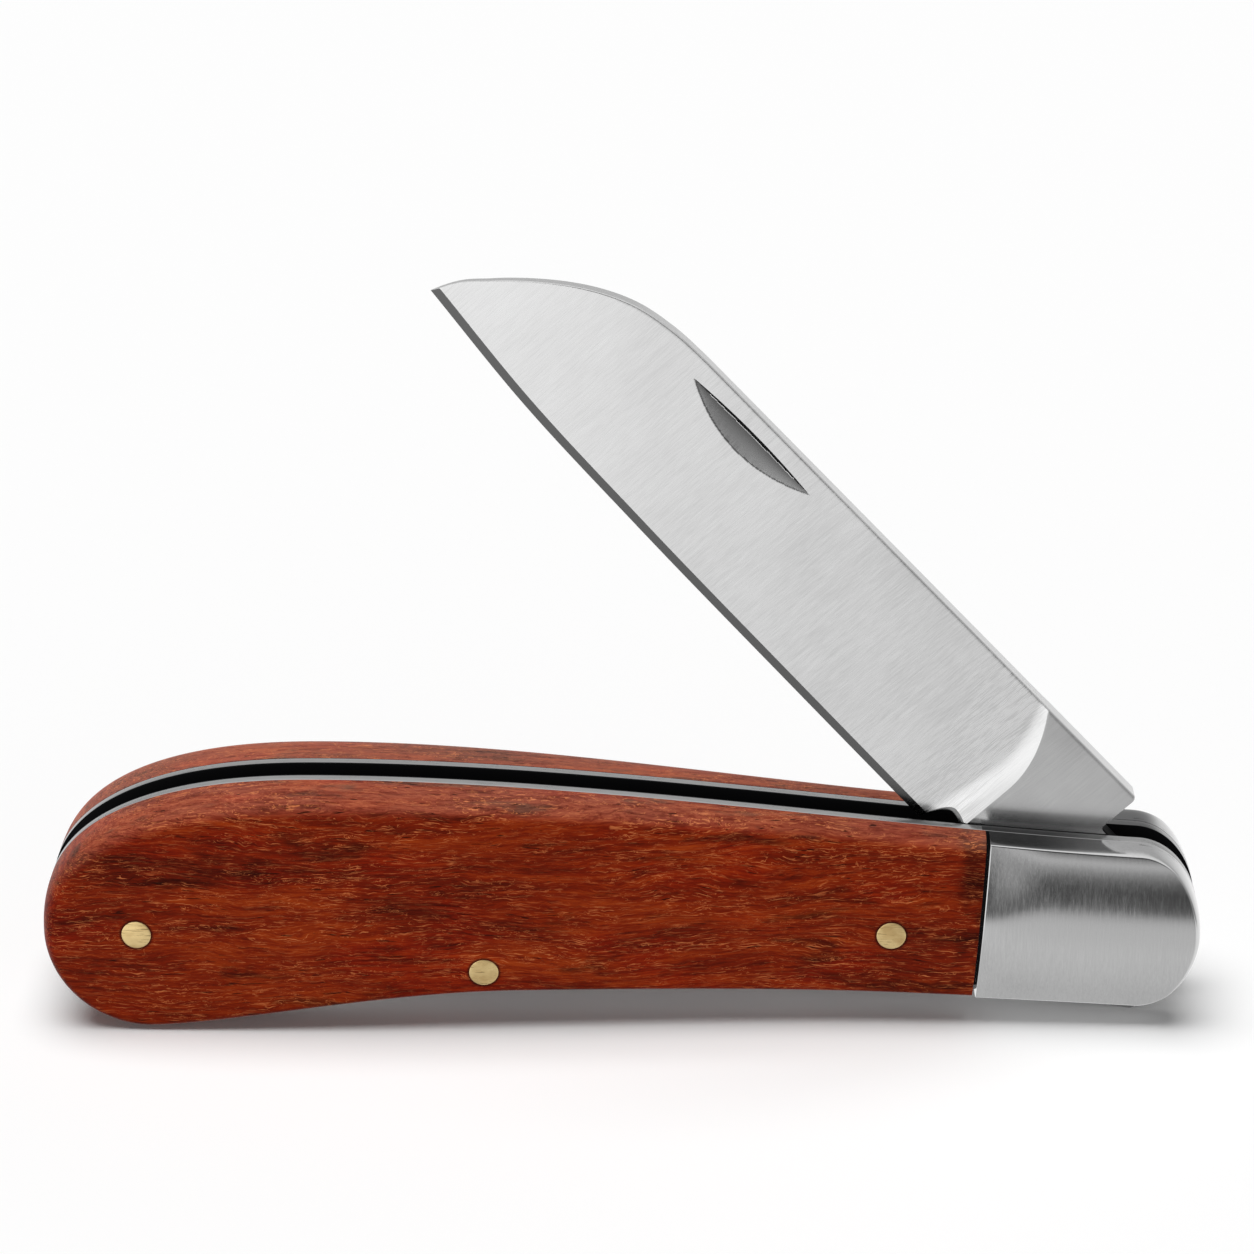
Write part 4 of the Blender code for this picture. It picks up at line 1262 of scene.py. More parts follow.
@dataclass
class BackSpring:
    """The back spring in its bent, half open state: butt lobe, centre lobe, slim arm and thick end."""

    form: HandleForm
    finish: Finish
    pivot: Vector
    butt_pin: Point
    centre_pin: Point
    holes: list[Triple]
    tang_radius: float = TANG_RADIUS
    tang_corner: float = TANG_CORNER
    rest_angle: float = REST_ANGLE
    lobe_radius: float = 2.9 * MM
    waist: float = 3.2 * MM
    butt_lobe_run: float = 12.0 * MM
    centre_lobe_flat: float = 1.2 * MM
    centre_lobe_run: float = 5.8 * MM
    relief: float = 2.6 * MM
    kick_setback: float = 14.2 * MM
    end_setback: float = 5.45 * MM
    tip_corner: float = 0.8 * MM
    contact_gap: float = 0.04 * MM
    bend_power: float = 2.5
    ease: float = 0.12 * MM
    drill_reach: float = 4.0 * MM
    butt_run: float = 6.0 * MM
    stations: tuple[int, int, int] = (40, 320, 16)

    def end_thickness(self) -> float:
        """Return the working end's height: what lies between the tang's radius and the handle's back."""
        drop = self.pivot.z - float(self.form.sole(np.array(self.pivot.x)))
        return drop * math.cos(math.atan(self.form.sole_slope)) - self.tang_radius

    def bend(self, x: Array) -> Array:
        """Return how far the tang's corner has pushed the spring down.

        The bend grows from the centre pin as a power of the share of the arm, and its size is what brings
        the spring just under the lowest point of the tang's corner.

        Args:
            x: places along the spring.

        Returns:
            The drop at each place.
        """
        reach = self.tang_radius - self.tang_corner
        cosine, sine = math.cos(self.rest_angle), math.sin(self.rest_angle)
        touch_x = self.pivot.x + reach * (cosine - sine)
        touch_z = self.pivot.z - reach * (cosine + sine) - self.tang_corner
        arm = self.form.nose_x - self.end_setback - self.centre_pin[0]
        seat = float(self.form.sole(np.array(touch_x))) + self.end_thickness()
        touch_share = (touch_x - self.centre_pin[0]) / arm
        travel = (seat + self.contact_gap - touch_z) / touch_share**self.bend_power
        return travel * np.clip((x - self.centre_pin[0]) / arm, 0.0, None) ** self.bend_power

    def upper(self, x: Array) -> Array:
        """Return the upper edge before it bends: smooth steps between lobes, waist and thick end.

        Args:
            x: places along the spring.

        Returns:
            The heights.
        """
        waist = self.form.sole(x) + self.waist
        fall = smooth_step((x - self.butt_pin[0] - self.lobe_radius) / self.butt_lobe_run)
        beside = np.abs(x - self.centre_pin[0]) - self.centre_lobe_flat
        rise = smooth_step(1.0 - beside / self.centre_lobe_run)
        line = (self.butt_pin[1] + self.lobe_radius) * (1.0 - fall) + waist * fall
        line = line + (self.centre_pin[1] + self.lobe_radius - waist) * rise
        thick = smooth_step((x - self.pivot.x + self.kick_setback + self.relief) / self.relief)
        line = line + (self.end_thickness() - self.waist) * thick
        return np.minimum(line, self.form.top(x))

    def build(self) -> list[bpy.types.Object]:
        """Return the spring, with a quarter circle at its tip's lower corner.

        Returns:
            The one piece.
        """
        end = self.form.nose_x - self.end_setback
        first, middle, last = (quarter(count) for count in self.stations)
        butt = self.form.butt_x + self.butt_run * (1.0 - np.cos(first))
        tip = end - self.tip_corner * (1.0 - np.sin(last))
        x = np.concatenate([butt, np.linspace(butt[-1], tip[0], len(middle))[1:-1], tip])
        into = np.clip(x - end + self.tip_corner, 0.0, self.tip_corner)
        low = self.form.sole(x) + self.tip_corner - np.sqrt(self.tip_corner**2 - into**2) - self.bend(x)
        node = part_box("back_spring")
        points, quads = plate(x, low, self.upper(x) - self.bend(x), (node[0].y, node[1].y), self.ease)
        mesh = drill(mesh_from("back_spring", points, quads), self.holes, self.drill_reach)
        return [add_piece(mesh, "back_spring", self.finish, Body.HANDLE)]


@dataclass
class PinSet:
    """The brass pins, filed to the wood's face with a trace of a dome left on them."""

    form: HandleForm
    scales: ScalePair
    finish: Finish
    through: tuple[str, ...] = ("butt_pin", "centre_pin")
    blind: tuple[tuple[str, Side], ...] = (("front_scale_pin", Side.FRONT), ("rear_scale_pin", Side.REAR))
    proud: float = 0.015 * MM
    dome: float = 0.05 * MM
    rim: float = 0.16 * MM
    rings: int = 24
    around: int = 72

    def end(self, x: float, z: float, radius: float) -> Array:
        """Return rings of (x, distance from the middle, z) from a pin's centre to its rim.

        The end follows the wood's face and stands proud of it by a little, plus a parabolic dome, less
        an eased rim.

        Args:
            x: the pin's X.
            z: the pin's Z.
            radius: the pin's radius.

        Returns:
            The rings, as rings by points by 3.
        """
        turn = np.linspace(0.0, 2.0 * math.pi, self.around, endpoint=False)[None, :]
        out = np.sin(quarter(self.rings))[:, None] * radius
        px, pz = x + out * np.cos(turn), z + out * np.sin(turn)
        face = self.form.inner + self.form.slab(px, pz, self.scales.shoulder(px, pz, Side.FRONT))
        height = face + self.proud + self.dome * (1.0 - (out / radius) ** 2) - eased(radius - out, self.rim)
        return np.stack([px, height, pz], axis=-1)

    def build(self) -> list[bpy.types.Object]:
        """Return every pin.

        Returns:
            The pieces.
        """
        pieces = []
        for node, side in [(name, None) for name in self.through] + list(self.blind):
            low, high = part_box(node)
            middle, radius = (low + high) / 2.0, (high.x - low.x) / 2.0
            end = self.end(middle.x, middle.z, radius)
            if side is None:
                rings = np.concatenate([end * (1.0, -1.0, 1.0), end[::-1]])
            else:
                flat = end[[-1, 0]].copy()
                flat[..., 1] = low.y if side is Side.REAR else -high.y
                rings = np.concatenate([end, flat]) * (1.0, float(side.value), 1.0)
            mesh = mesh_from(node, *turned_grid(rings))
            pieces.append(add_piece(mesh, node, self.finish, Body.HANDLE))
        return pieces


# Blade


@dataclass
class Blade:
    """The blade in its own frame: reach along it from the pivot, height across it, its faces front and rear.

    Columns run from the tang's end to the tip. Each joins a point of the lower outline to a point of
    the upper one, and both faces hang on the same grid: flat stock up to the plunge, then a wheel's hollow,
    a flat that thins towards the edge, and the edge bevel. The knots of the edge and of the back are shares
    of their length and of their fall. The shoulder's spread and the gap before the body are in fillets.
    """

    pivot: Vector
    finish: Finish
    rest_angle: float = REST_ANGLE
    reach: float = 88.75 * MM
    spine: float = 9.85 * MM
    shoulder: float = 5.15 * MM
    tang: float = TANG_RADIUS
    tang_corner: float = TANG_CORNER
    fillet: float = 0.4 * MM
    heel: float = 17.75 * MM
    heel_depth: float = 7.2 * MM
    choil_setback: float = 1.75 * MM
    choil_rise: float = 2.85 * MM
    choil_ease: float = 0.85
    kick_setback: float = 2.6 * MM
    kick_width: float = 0.8 * MM
    closed_angle: float = math.radians(7.5)
    handle_slope: float = math.atan(-HandleForm.sole_slope)
    tip_depth: float = 4.35 * MM
    tip_sweep: float = 22.75 * MM
    stock: float = 2.5 * MM
    spine_thickness: Range = (2.3 * MM, 1.9 * MM)
    bevel_thickness: float = 0.5 * MM
    edge_thickness: float = 0.06 * MM
    bevel_width: float = 0.86 * MM
    plunge_setback: float = 3.35 * MM
    plunge_sweep: float = 3.7 * MM
    plunge_lean: float = math.radians(16.2)
    sweep_range: Range = (8.0 * MM, 26.0 * MM)
    wheel: float = 8.0 * MM
    nick_start: float = 49.9 * MM
    nick_length: float = 16.0 * MM
    nick_width: float = 2.5 * MM
    nick_drop: float = 2.0 * MM
    nick_depth: float = 0.75 * MM
    nick_wall: float = 0.42 * MM
    nick_bulge: float = 0.36 * MM
    nick_power: float = 1.35
    nick_blend: float = 0.05 * MM
    nick_margin: float = 0.5 * MM
    ease: float = 0.18 * MM
    crease: float = 10.0
    turn_columns: int = 9
    shoulder_spread: float = 3.0
    body_gap: float = 4.0
    tang_columns: int = 22
    wall_columns: int = 10
    kick_columns: int = 30
    arch_columns: int = 16
    choil_columns: int = 26
    choil_overrun: float = 0.3 * MM
    grind_columns: tuple[int, int, int] = (60, 60, 100)
    grind_crowding: float = 8.0 * MM
    tip_columns: int = 75
    tip_power: float = 1.4
    row_counts: tuple[int, ...] = (2, 4, 24, 26, 14, 2, 8, 5)
    row_crowding: float = 0.05 * MM
    foot_margin: float = 0.3 * MM
    bevel_most: float = 0.9
    least_height: float = 0.01 * MM
    choil_rows: int = 4
    bevel_grey: float = 0.18
    # Painted shade round the choil.
    choil_shade_grey: float = 0.20
    # Painted shade on the nick's wall and on the tang's sides.
    painted_shade_grey: float = 0.02
    # The nick's floor: painted light at the arc, painted shade towards the wall.
    nick_floor_painted_greys: Range = (0.98, 0.16)
    floor_power: float = 0.7
    # A painted dark line on the nick arc's rim.
    rim_shade_grey: float = 0.30
    arc_rim: float = 0.15 * MM
    # A painted white highlight along the wall's foot: its width, and the share of the nick it runs along.
    glint_line_width: float = 0.06 * MM
    glint_line_share: float = 0.72
    # The attribute of the blade's bevel grey and its painted shade and painted light.
    grey_name: str = "grey_and_painted_light"
    edge_knots: Stops = ((-0.3, -0.05), (0.0, 0.0), (0.27, 0.1), (0.58, 0.26), (0.81, 0.5), (1.0, 1.0))
    back_knots: Stops = ((0.0, 0.0), (0.033, 0.12), (0.138, 0.342), (0.275, 0.568), (0.43, 0.765),
                         (0.61, 0.915), (0.8, 0.982), (1.0, 1.0), (1.3, 1.0))

    @property
    def choil(self) -> float:
        """Return the reach at which the choil's ogee starts."""
        return self.heel - self.choil_setback

    @property
    def kick_end(self) -> float:
        """Return the reach at which the kick ends and the choil's arch starts."""
        return self.choil - self.kick_setback

    @property
    def body_start(self) -> float:
        """Return the reach from which the lower and the upper ends of the columns share their reach."""
        return self.shoulder + self.body_gap * self.fillet

    @property
    def tip_start(self) -> float:
        """Return the reach at which the back starts to sweep down."""
        return self.reach - self.tip_sweep

    @property
    def plunge(self) -> float:
        """Return the reach at which the grind starts."""
        return self.heel - self.plunge_setback

    @property
    def kick_depth(self) -> float:
        """Return the kick's depth, which props the closed blade on the spring at its closed angle."""
        prop = self.closed_angle - self.handle_slope
        return (self.tang + self.kick_end * math.sin(prop)) / math.cos(prop)

    @property
    def bevel_rows(self) -> int:
        """Return how many rows of faces the edge bevel has."""
        return sum(self.row_counts[:2])

    @property
    def depth(self) -> float:
        """Return the blade's full height at the heel."""
        return self.spine + self.heel_depth

    def edge(self, reach: Array) -> Array:
        """Return the edge's height at each reach: a smooth curve through knots shared out along it.

        Args:
            reach: places along the blade.

        Returns:
            The heights.
        """
        length, belly = self.reach - self.heel, self.heel_depth - self.tip_depth
        knots = [(self.heel + along * length, self.heel_depth - fall * belly)
                 for along, fall in self.edge_knots]
        return -curve_through(reach, knots)

    def back(self, setback: Array) -> Array:
        """Return the back's height at each setback from the tip: a smooth curve that sweeps down.

        Args:
            setback: distances from the tip.

        Returns:
            The heights.
        """
        drop = self.spine + self.tip_depth
        knots = [(along * self.tip_sweep, rise * drop - self.tip_depth) for along, rise in self.back_knots]
        return curve_through(setback, knots)

    def lower(self, reach: Array) -> Array:
        """Return the lower outline's height: tang, kick, quarter-ellipse choil, sine ogee and edge.

        Args:
            reach: places along the blade.

        Returns:
            The heights.
        """
        kick = -self.tang - np.clip(reach - self.kick_end + self.kick_width + self.kick_depth - self.tang, 0.0,
                                    self.kick_depth - self.tang)
        into = np.clip((self.choil - reach) / self.kick_setback, 0.0, 1.0)
        rise = self.kick_depth - self.heel_depth + self.choil_rise
        arch = -self.kick_depth + rise * np.sqrt(1.0 - into**2)
        share = np.clip((self.heel - reach) / self.choil_setback, 0.0, 1.0)
        ogee = self.choil_rise * np.sin(math.pi / 2.0 * share**self.choil_ease) - self.heel_depth
        return np.select([reach < self.kick_end, reach < self.choil, reach < self.heel], [kick, arch, ogee],
                         self.edge(reach))

    def columns(self) -> tuple[Array, Array, Array]:
        """Return the columns' lower and upper ends.

        The tang's end has two corners of a quarter circle. At the spine's shoulder the upper ends climb
        a fillet, a wall and a corner while the lower ends move on, by a few fillets to each side. Elsewhere
        both ends share their reach, which crowds where the outline or the face turns.

        Returns:
            The lower ends' reach, the lower ends' height, and both for the upper ends as one array.
        """
        turn = quarter(self.turn_columns)
        inner = self.tang - self.tang_corner
        corner = -inner - self.tang_corner * np.cos(turn)
        corner_z = inner + self.tang_corner * np.sin(turn)
        flat = np.linspace(-inner, self.shoulder - self.shoulder_spread * self.fillet, self.tang_columns)[1:]
        fillet_x = self.shoulder - self.fillet + self.fillet * np.sin(turn)
        fillet_z = self.tang + self.fillet * (1.0 - np.cos(turn))
        wall = np.linspace(self.tang + self.fillet, self.spine - self.fillet, self.wall_columns)[1:-1]
        top_x = self.shoulder + self.fillet * (1.0 - np.cos(turn))
        top_z = self.spine - self.fillet * (1.0 - np.sin(turn))
        step_x = np.concatenate([fillet_x, np.full_like(wall, self.shoulder), top_x])
        step_z = np.concatenate([fillet_z, wall, top_z])
        spread = self.shoulder + self.shoulder_spread * self.fillet
        step_low = np.linspace(flat[-1], spread, len(step_x) + 2)[1:-1]
        arch = self.choil - self.kick_setback * np.cos(quarter(self.arch_columns))
        body = [np.linspace(self.body_start, self.kick_end, self.kick_columns), arch,
                np.linspace(arch[-1], self.heel + self.choil_overrun, self.choil_columns)]
        ends = (self.plunge, self.plunge + self.grind_crowding, self.nick_start - self.nick_margin,
                self.tip_start)
        body += [np.linspace(*stretch) for stretch in zip(ends, ends[1:], self.grind_columns)]
        body_x = np.unique(np.round(np.concatenate(body), 7))
        tip_x = self.reach - self.tip_sweep * np.linspace(1.0, 0.0, self.tip_columns + 1)[1:] ** self.tip_power
        low = np.concatenate([corner, flat, step_low, body_x, tip_x])
        high = np.concatenate([corner, flat, step_x, body_x, tip_x])
        high_z = np.concatenate([corner_z, np.full_like(flat, self.tang), step_z,
                                 np.full_like(body_x, self.spine), self.back(self.reach - tip_x)])
        low_z = self.lower(low)
        low_z[:len(turn)] = -corner_z
        return low, low_z, np.stack([high, high_z])

    def rows(self, reach: Array) -> Array:
        """Return the rows as shares of each column's height.

        Knots stand at the bevel's top, round the nail nick and beside the spine, at real heights where the
        blade has its full height, and keep their last shares along the tang and the tip. Along the tip
        the bevel keeps its width, and the rows above it share out the rest.

        Args:
            reach: the columns' reach.

        Returns:
            Shares as rows by columns.
        """
        held = np.clip(reach, self.body_start, self.tip_start)
        bottom, wall, spine = self.lower(held), self.nick_top(held), np.full_like(held, self.spine)
        foot = spine - self.nick_drop - self.nick_width - self.foot_margin
        knots = (bottom, bottom + self.row_crowding, bottom + self.bevel_width, foot,
                 wall - 2.0 * self.nick_wall, wall, wall + self.row_crowding, spine - self.ease, spine)
        rows = [bottom]
        for start, end, count in zip(knots, knots[1:], self.row_counts):
            shares = np.linspace(0.0, 1.0, count + 1)[1:, None]
            rows.extend(between((start, end), shares))
        share = (np.array(rows) - bottom) / (self.spine - bottom)
        full = self.back(np.maximum(self.reach - reach, 0.0)) - self.edge(reach)
        bevel = share[self.bevel_rows]
        tip = np.minimum(self.bevel_width / np.maximum(full, self.least_height), self.bevel_most)
        wanted = np.where(reach > held, tip, bevel)
        above = wanted + (1.0 - wanted) * (share - bevel) / (1.0 - bevel)
        return np.where(share <= bevel, share * wanted / bevel, above)

    def ground(self, reach: Array, lift: Array) -> Array:
        """Return half the ground blade's thickness: an even thinning to the bevel, then the bevel.

        Args:
            reach: places along the blade.
            lift: heights above the edge.

        Returns:
            Half the thickness at each point.
        """
        along = np.clip((reach - self.plunge) / (self.reach - self.plunge), 0.0, 1.0)
        root, edge = self.bevel_thickness / 2.0, self.edge_thickness / 2.0
        gain = between(self.spine_thickness, along) / 2.0 - root
        flat = root + gain * lift / self.depth
        bevel_top = root + gain * self.bevel_width / self.depth
        bevel = edge + (bevel_top - edge) * lift / self.bevel_width
        return np.where(lift < self.bevel_width, bevel, flat)

    def half(self, reach: Array, height: Array) -> Array:
        """Return half the blade's thickness at each point.

        Before the plunge it is the stock's half. After it a wheel leaves a hollow: its radius less the root
        of the radius squared less the way left to the flat squared.

        Args:
            reach: the points' reach.
            height: the points' height.

        Returns:
            Half the thickness.
        """
        lift = np.maximum(height - self.edge(reach), 0.0)
        start = self.plunge + self.sweep(lift)
        removed = self.stock / 2.0 - self.ground(start, lift)
        length = np.sqrt(2.0 * self.wheel * removed - removed**2)
        left = length - np.clip(reach - start, 0.0, length)
        hollow = self.wheel - np.sqrt(self.wheel**2 - left**2)
        return np.where(reach < start, self.stock / 2.0, self.ground(reach, lift) + hollow)

    def sweep(self, lift: Array) -> Array:
        """Return how far the plunge leans towards the tip: a square from mid height upwards."""
        return self.plunge_sweep * np.clip(2.0 * lift / self.depth - 1.0, 0.0, 1.0) ** 2

    def nick_share(self, reach: Array) -> Array:
        """Return the place along the nick, from -1 at its handle end to 1 at its tip end."""
        return np.clip(2.0 * (reach - self.nick_start) / self.nick_length - 1.0, -1.0, 1.0)

    def nick_top(self, reach: Array) -> Array:
        """Return the height of the nick's wall, which bulges towards the spine by a parabola."""
        return self.spine - self.nick_drop + self.nick_bulge * (1.0 - self.nick_share(reach) ** 2)

    def nick_place(self, reach: Array, height: Array) -> tuple[Array, Array]:
        """Return how far points lie below the nick's wall, and its width there, a parabola along it."""
        return self.nick_top(reach) - height, self.nick_width * (1.0 - self.nick_share(reach) ** 2)

    def nick(self, reach: Array, height: Array) -> Array:
        """Return the nail nick's depth.

        From the arc the floor sinks by a power of the way to the wall, and a short wall brings it back:
        the depth is the lesser of both, blended by a smooth minimum.

        Args:
            reach: the points' reach.
            height: the points' height.

        Returns:
            The depth below the blade's face.
        """
        below, width = self.nick_place(reach, height)
        floor = self.nick_depth * np.maximum((width - below) / self.nick_width, 0.0) ** self.nick_power
        side = below * self.nick_depth / self.nick_wall
        least = (floor + side - np.sqrt((floor - side) ** 2 + self.nick_blend**2)) / 2.0
        return np.where(width > below, np.maximum(least, 0.0), 0.0)

    def greys(self, reach: Array, height: Array) -> Array:
        """Return the greys of the faces that don't show the blade's own colour, and 0 for the rest.

        The edge bevel is dark, and a narrow strip round the choil is painted shade. In the nick the wall is
        painted shade, darkest of all, the line at its foot is a painted white highlight, the floor is painted
        light at the arc and painted shade towards that line by a power of the way, and the arc's rim is a thin
        painted dark line. The tang's narrow sides and their eased edges are painted shade too.

        Args:
            reach: the grid's reach.
            height: the grid's height.

        Returns:
            One value per face, in the order of both grids and the wall.
        """
        gap = np.minimum(height - height[0], height[-1] - height)
        middle = [(grid[:-1, :-1] + grid[1:, :-1] + grid[:-1, 1:] + grid[1:, 1:]) / 4.0
                  for grid in (reach, height, gap)]
        row = np.arange(len(reach) - 1)[:, None]
        low = middle[0][:1]
        # Painted shade: a narrow strip round the choil.
        choil = (low > self.kick_end) & (low <= self.heel) & (row < self.choil_rows)
        rear = np.where((row < self.bevel_rows) & (low > self.heel), self.bevel_grey, choil * self.choil_shade_grey)
        # Painted shade: the tang's eased edges.
        rear = np.where((middle[2] < self.ease) & (middle[0] < self.shoulder), self.painted_shade_grey, rear)
        below, width = self.nick_place(*middle[:2])
        wall = self.nick_wall * width / self.nick_width
        across = np.clip(1.0 - below / (width + LEAST_WIDTH), 0.0, 1.0)
        # Painted light at the arc, falling to painted shade towards the wall.
        floor = between(self.nick_floor_painted_greys, across**self.floor_power)
        # A painted white highlight along the wall's foot.
        foot = (below < wall + self.glint_line_width) & (np.abs(self.nick_share(middle[0])) < self.glint_line_share)
        beside = (below <= 0.0) | (below >= width)
        # Painted shade on the nick's wall and a painted dark line on the arc's rim.
        front = np.select([beside, below < wall, foot, below > width - self.arc_rim],
                          [rear, self.painted_shade_grey, 1.0, self.rim_shade_grey], floor)
        rim = np.concatenate([reach[0, :-1], reach[:-1, -1], reach[-1, :0:-1], reach[:0:-1, 0]])
        # Painted shade on the tang's narrow sides.
        return np.concatenate([front.ravel(), rear.ravel(), (rim < self.shoulder) * self.painted_shade_grey])

    def build(self) -> list[bpy.types.Object]:
        """Return the blade, with its pivot hole.

        The columns near the plunge lean with its sweep. Beyond the heel the lower rim stays sharp, which
        a metre more on its distance sees to.

        Returns:
            The one piece.
        """
        low, low_z, (high, high_z) = self.columns()
        share = self.rows(low)
        upright, height = between((low, high), share), between((low_z, high_z), share)
        start, end = self.sweep_range
        before = smooth_step((low - start) / (self.plunge - start))
        after = smooth_step((end - low) / (end - self.plunge))
        lift = np.maximum(height - self.edge(upright), 0.0)
        reach = upright + before * after * self.sweep(lift)
        half = self.half(reach, height)
        rim = np.minimum(share * (high_z - low_z) + (low > self.heel), (1.0 - share) * (high_z - low_z))
        half = half - eased(rim, self.ease) * np.clip(half / self.stock * 2.0, 0.0, 1.0)
        cosine, sine = math.cos(self.rest_angle), math.sin(self.rest_angle)
        x = self.pivot.x - reach * cosine + height * sine
        z = self.pivot.z + reach * sine + height * cosine
        faces = [np.stack([x, y, z], axis=-1) for y in (-half + self.nick(reach, height), half)]
        marks = {self.grey_name: self.greys(upright, height)}
        mesh = mesh_from("blade", *solid_between(*faces), self.crease, marks)
        mesh = drill(mesh, [(self.pivot.x, self.pivot.z, PIN_HOLE)], self.stock, self.crease)
        return [add_piece(mesh, "blade", self.finish, Body.BLADE)]


# Steels of the knife


@dataclass(frozen=True)
class KnifeSteels:
    """The knife's four steels, fitted to the handle and the blade.

    The ranges of painted top shade and the overlap start at the joint between the scales and the bolsters.
    """

    form: HandleForm
    pivot: Vector
    liner_face: float
    liner_bright: float = 1.0 * MM
    # Where the painted top shade fades out beyond the joint, on the bolsters and on the liners.
    bolster_top_shade: Range = (5.0 * MM, 13.0 * MM)
    liner_top_shade: Range = (6.0 * MM, 14.0 * MM)
    overlap: float = 1.0 * MM

    def beyond_joint(self, reach: Range) -> Range:
        """Return the range of X that starts and ends so far beyond the joint."""
        return self.form.joint_x + reach[0], self.form.joint_x + reach[1]

    def bolster(self) -> Finish:
        """Return the bolsters' steel, brushed upright and then polished, with painted shade on its top.

        Returns:
            The finish.
        """
        # Painted shade on the bolsters' tops over the top shade range.
        return SteelFinish("brushed_bolster_steel", "bolster_steel", rough=(0.10, 0.17),
                           relief_depth=0.0008 * MM, dull=self.beyond_joint(self.bolster_top_shade),
                           open_x=self.form.joint_x - self.overlap).build()

    def liner(self) -> Finish:
        """Return the liners' steel, ground along the handle, with painted shade beside the slot and on top.

        Returns:
            The finish.
        """
        # Painted shade beside the slot and on the tops beyond the joint.
        return SteelFinish("ground_liner_steel", "liner_steel", colour=(0.52, 0.52, 0.52),
                           shade=(0.42, 0.42, 0.42), lay=math.radians(90.0),
                           bright=(self.liner_face - self.liner_bright, self.liner_face),
                           open_x=self.form.joint_x, dull=self.beyond_joint(self.liner_top_shade)).build()

    def blade(self) -> Finish:
        """Return the blade's satin steel, with its strongest scratches on the hollow of the plunge.

        Returns:
            The finish.
        """
        turn = Blade.rest_angle - Blade.plunge_lean
        line = Vector((-math.cos(turn), 0.0, math.sin(turn)))
        start = line.dot(self.pivot) + Blade.heel - Blade.plunge_setback
        return SteelFinish("satin_blade_steel", "blade_steel", colour=(0.84, 0.84, 0.84),
                           shade=(0.66, 0.66, 0.66), rough=(0.20, 0.28), lay=-Blade.rest_angle,
                           scratch=(11.0, 11.0, 0.30), relief_depth=0.002 * MM,
                           grey_and_painted_light=Blade.grey_name, plunge=(tuple(line), start)).build()

    def spring(self) -> Finish:
        """Return the spring's dark steel, which the pivot pin and the rivets share."""
        return SteelFinish("ground_spring_steel", "spring_steel", colour=(0.20, 0.20, 0.20),
                           shade=(0.12, 0.12, 0.12), rough=(0.4, 0.5)).build()


# Studio


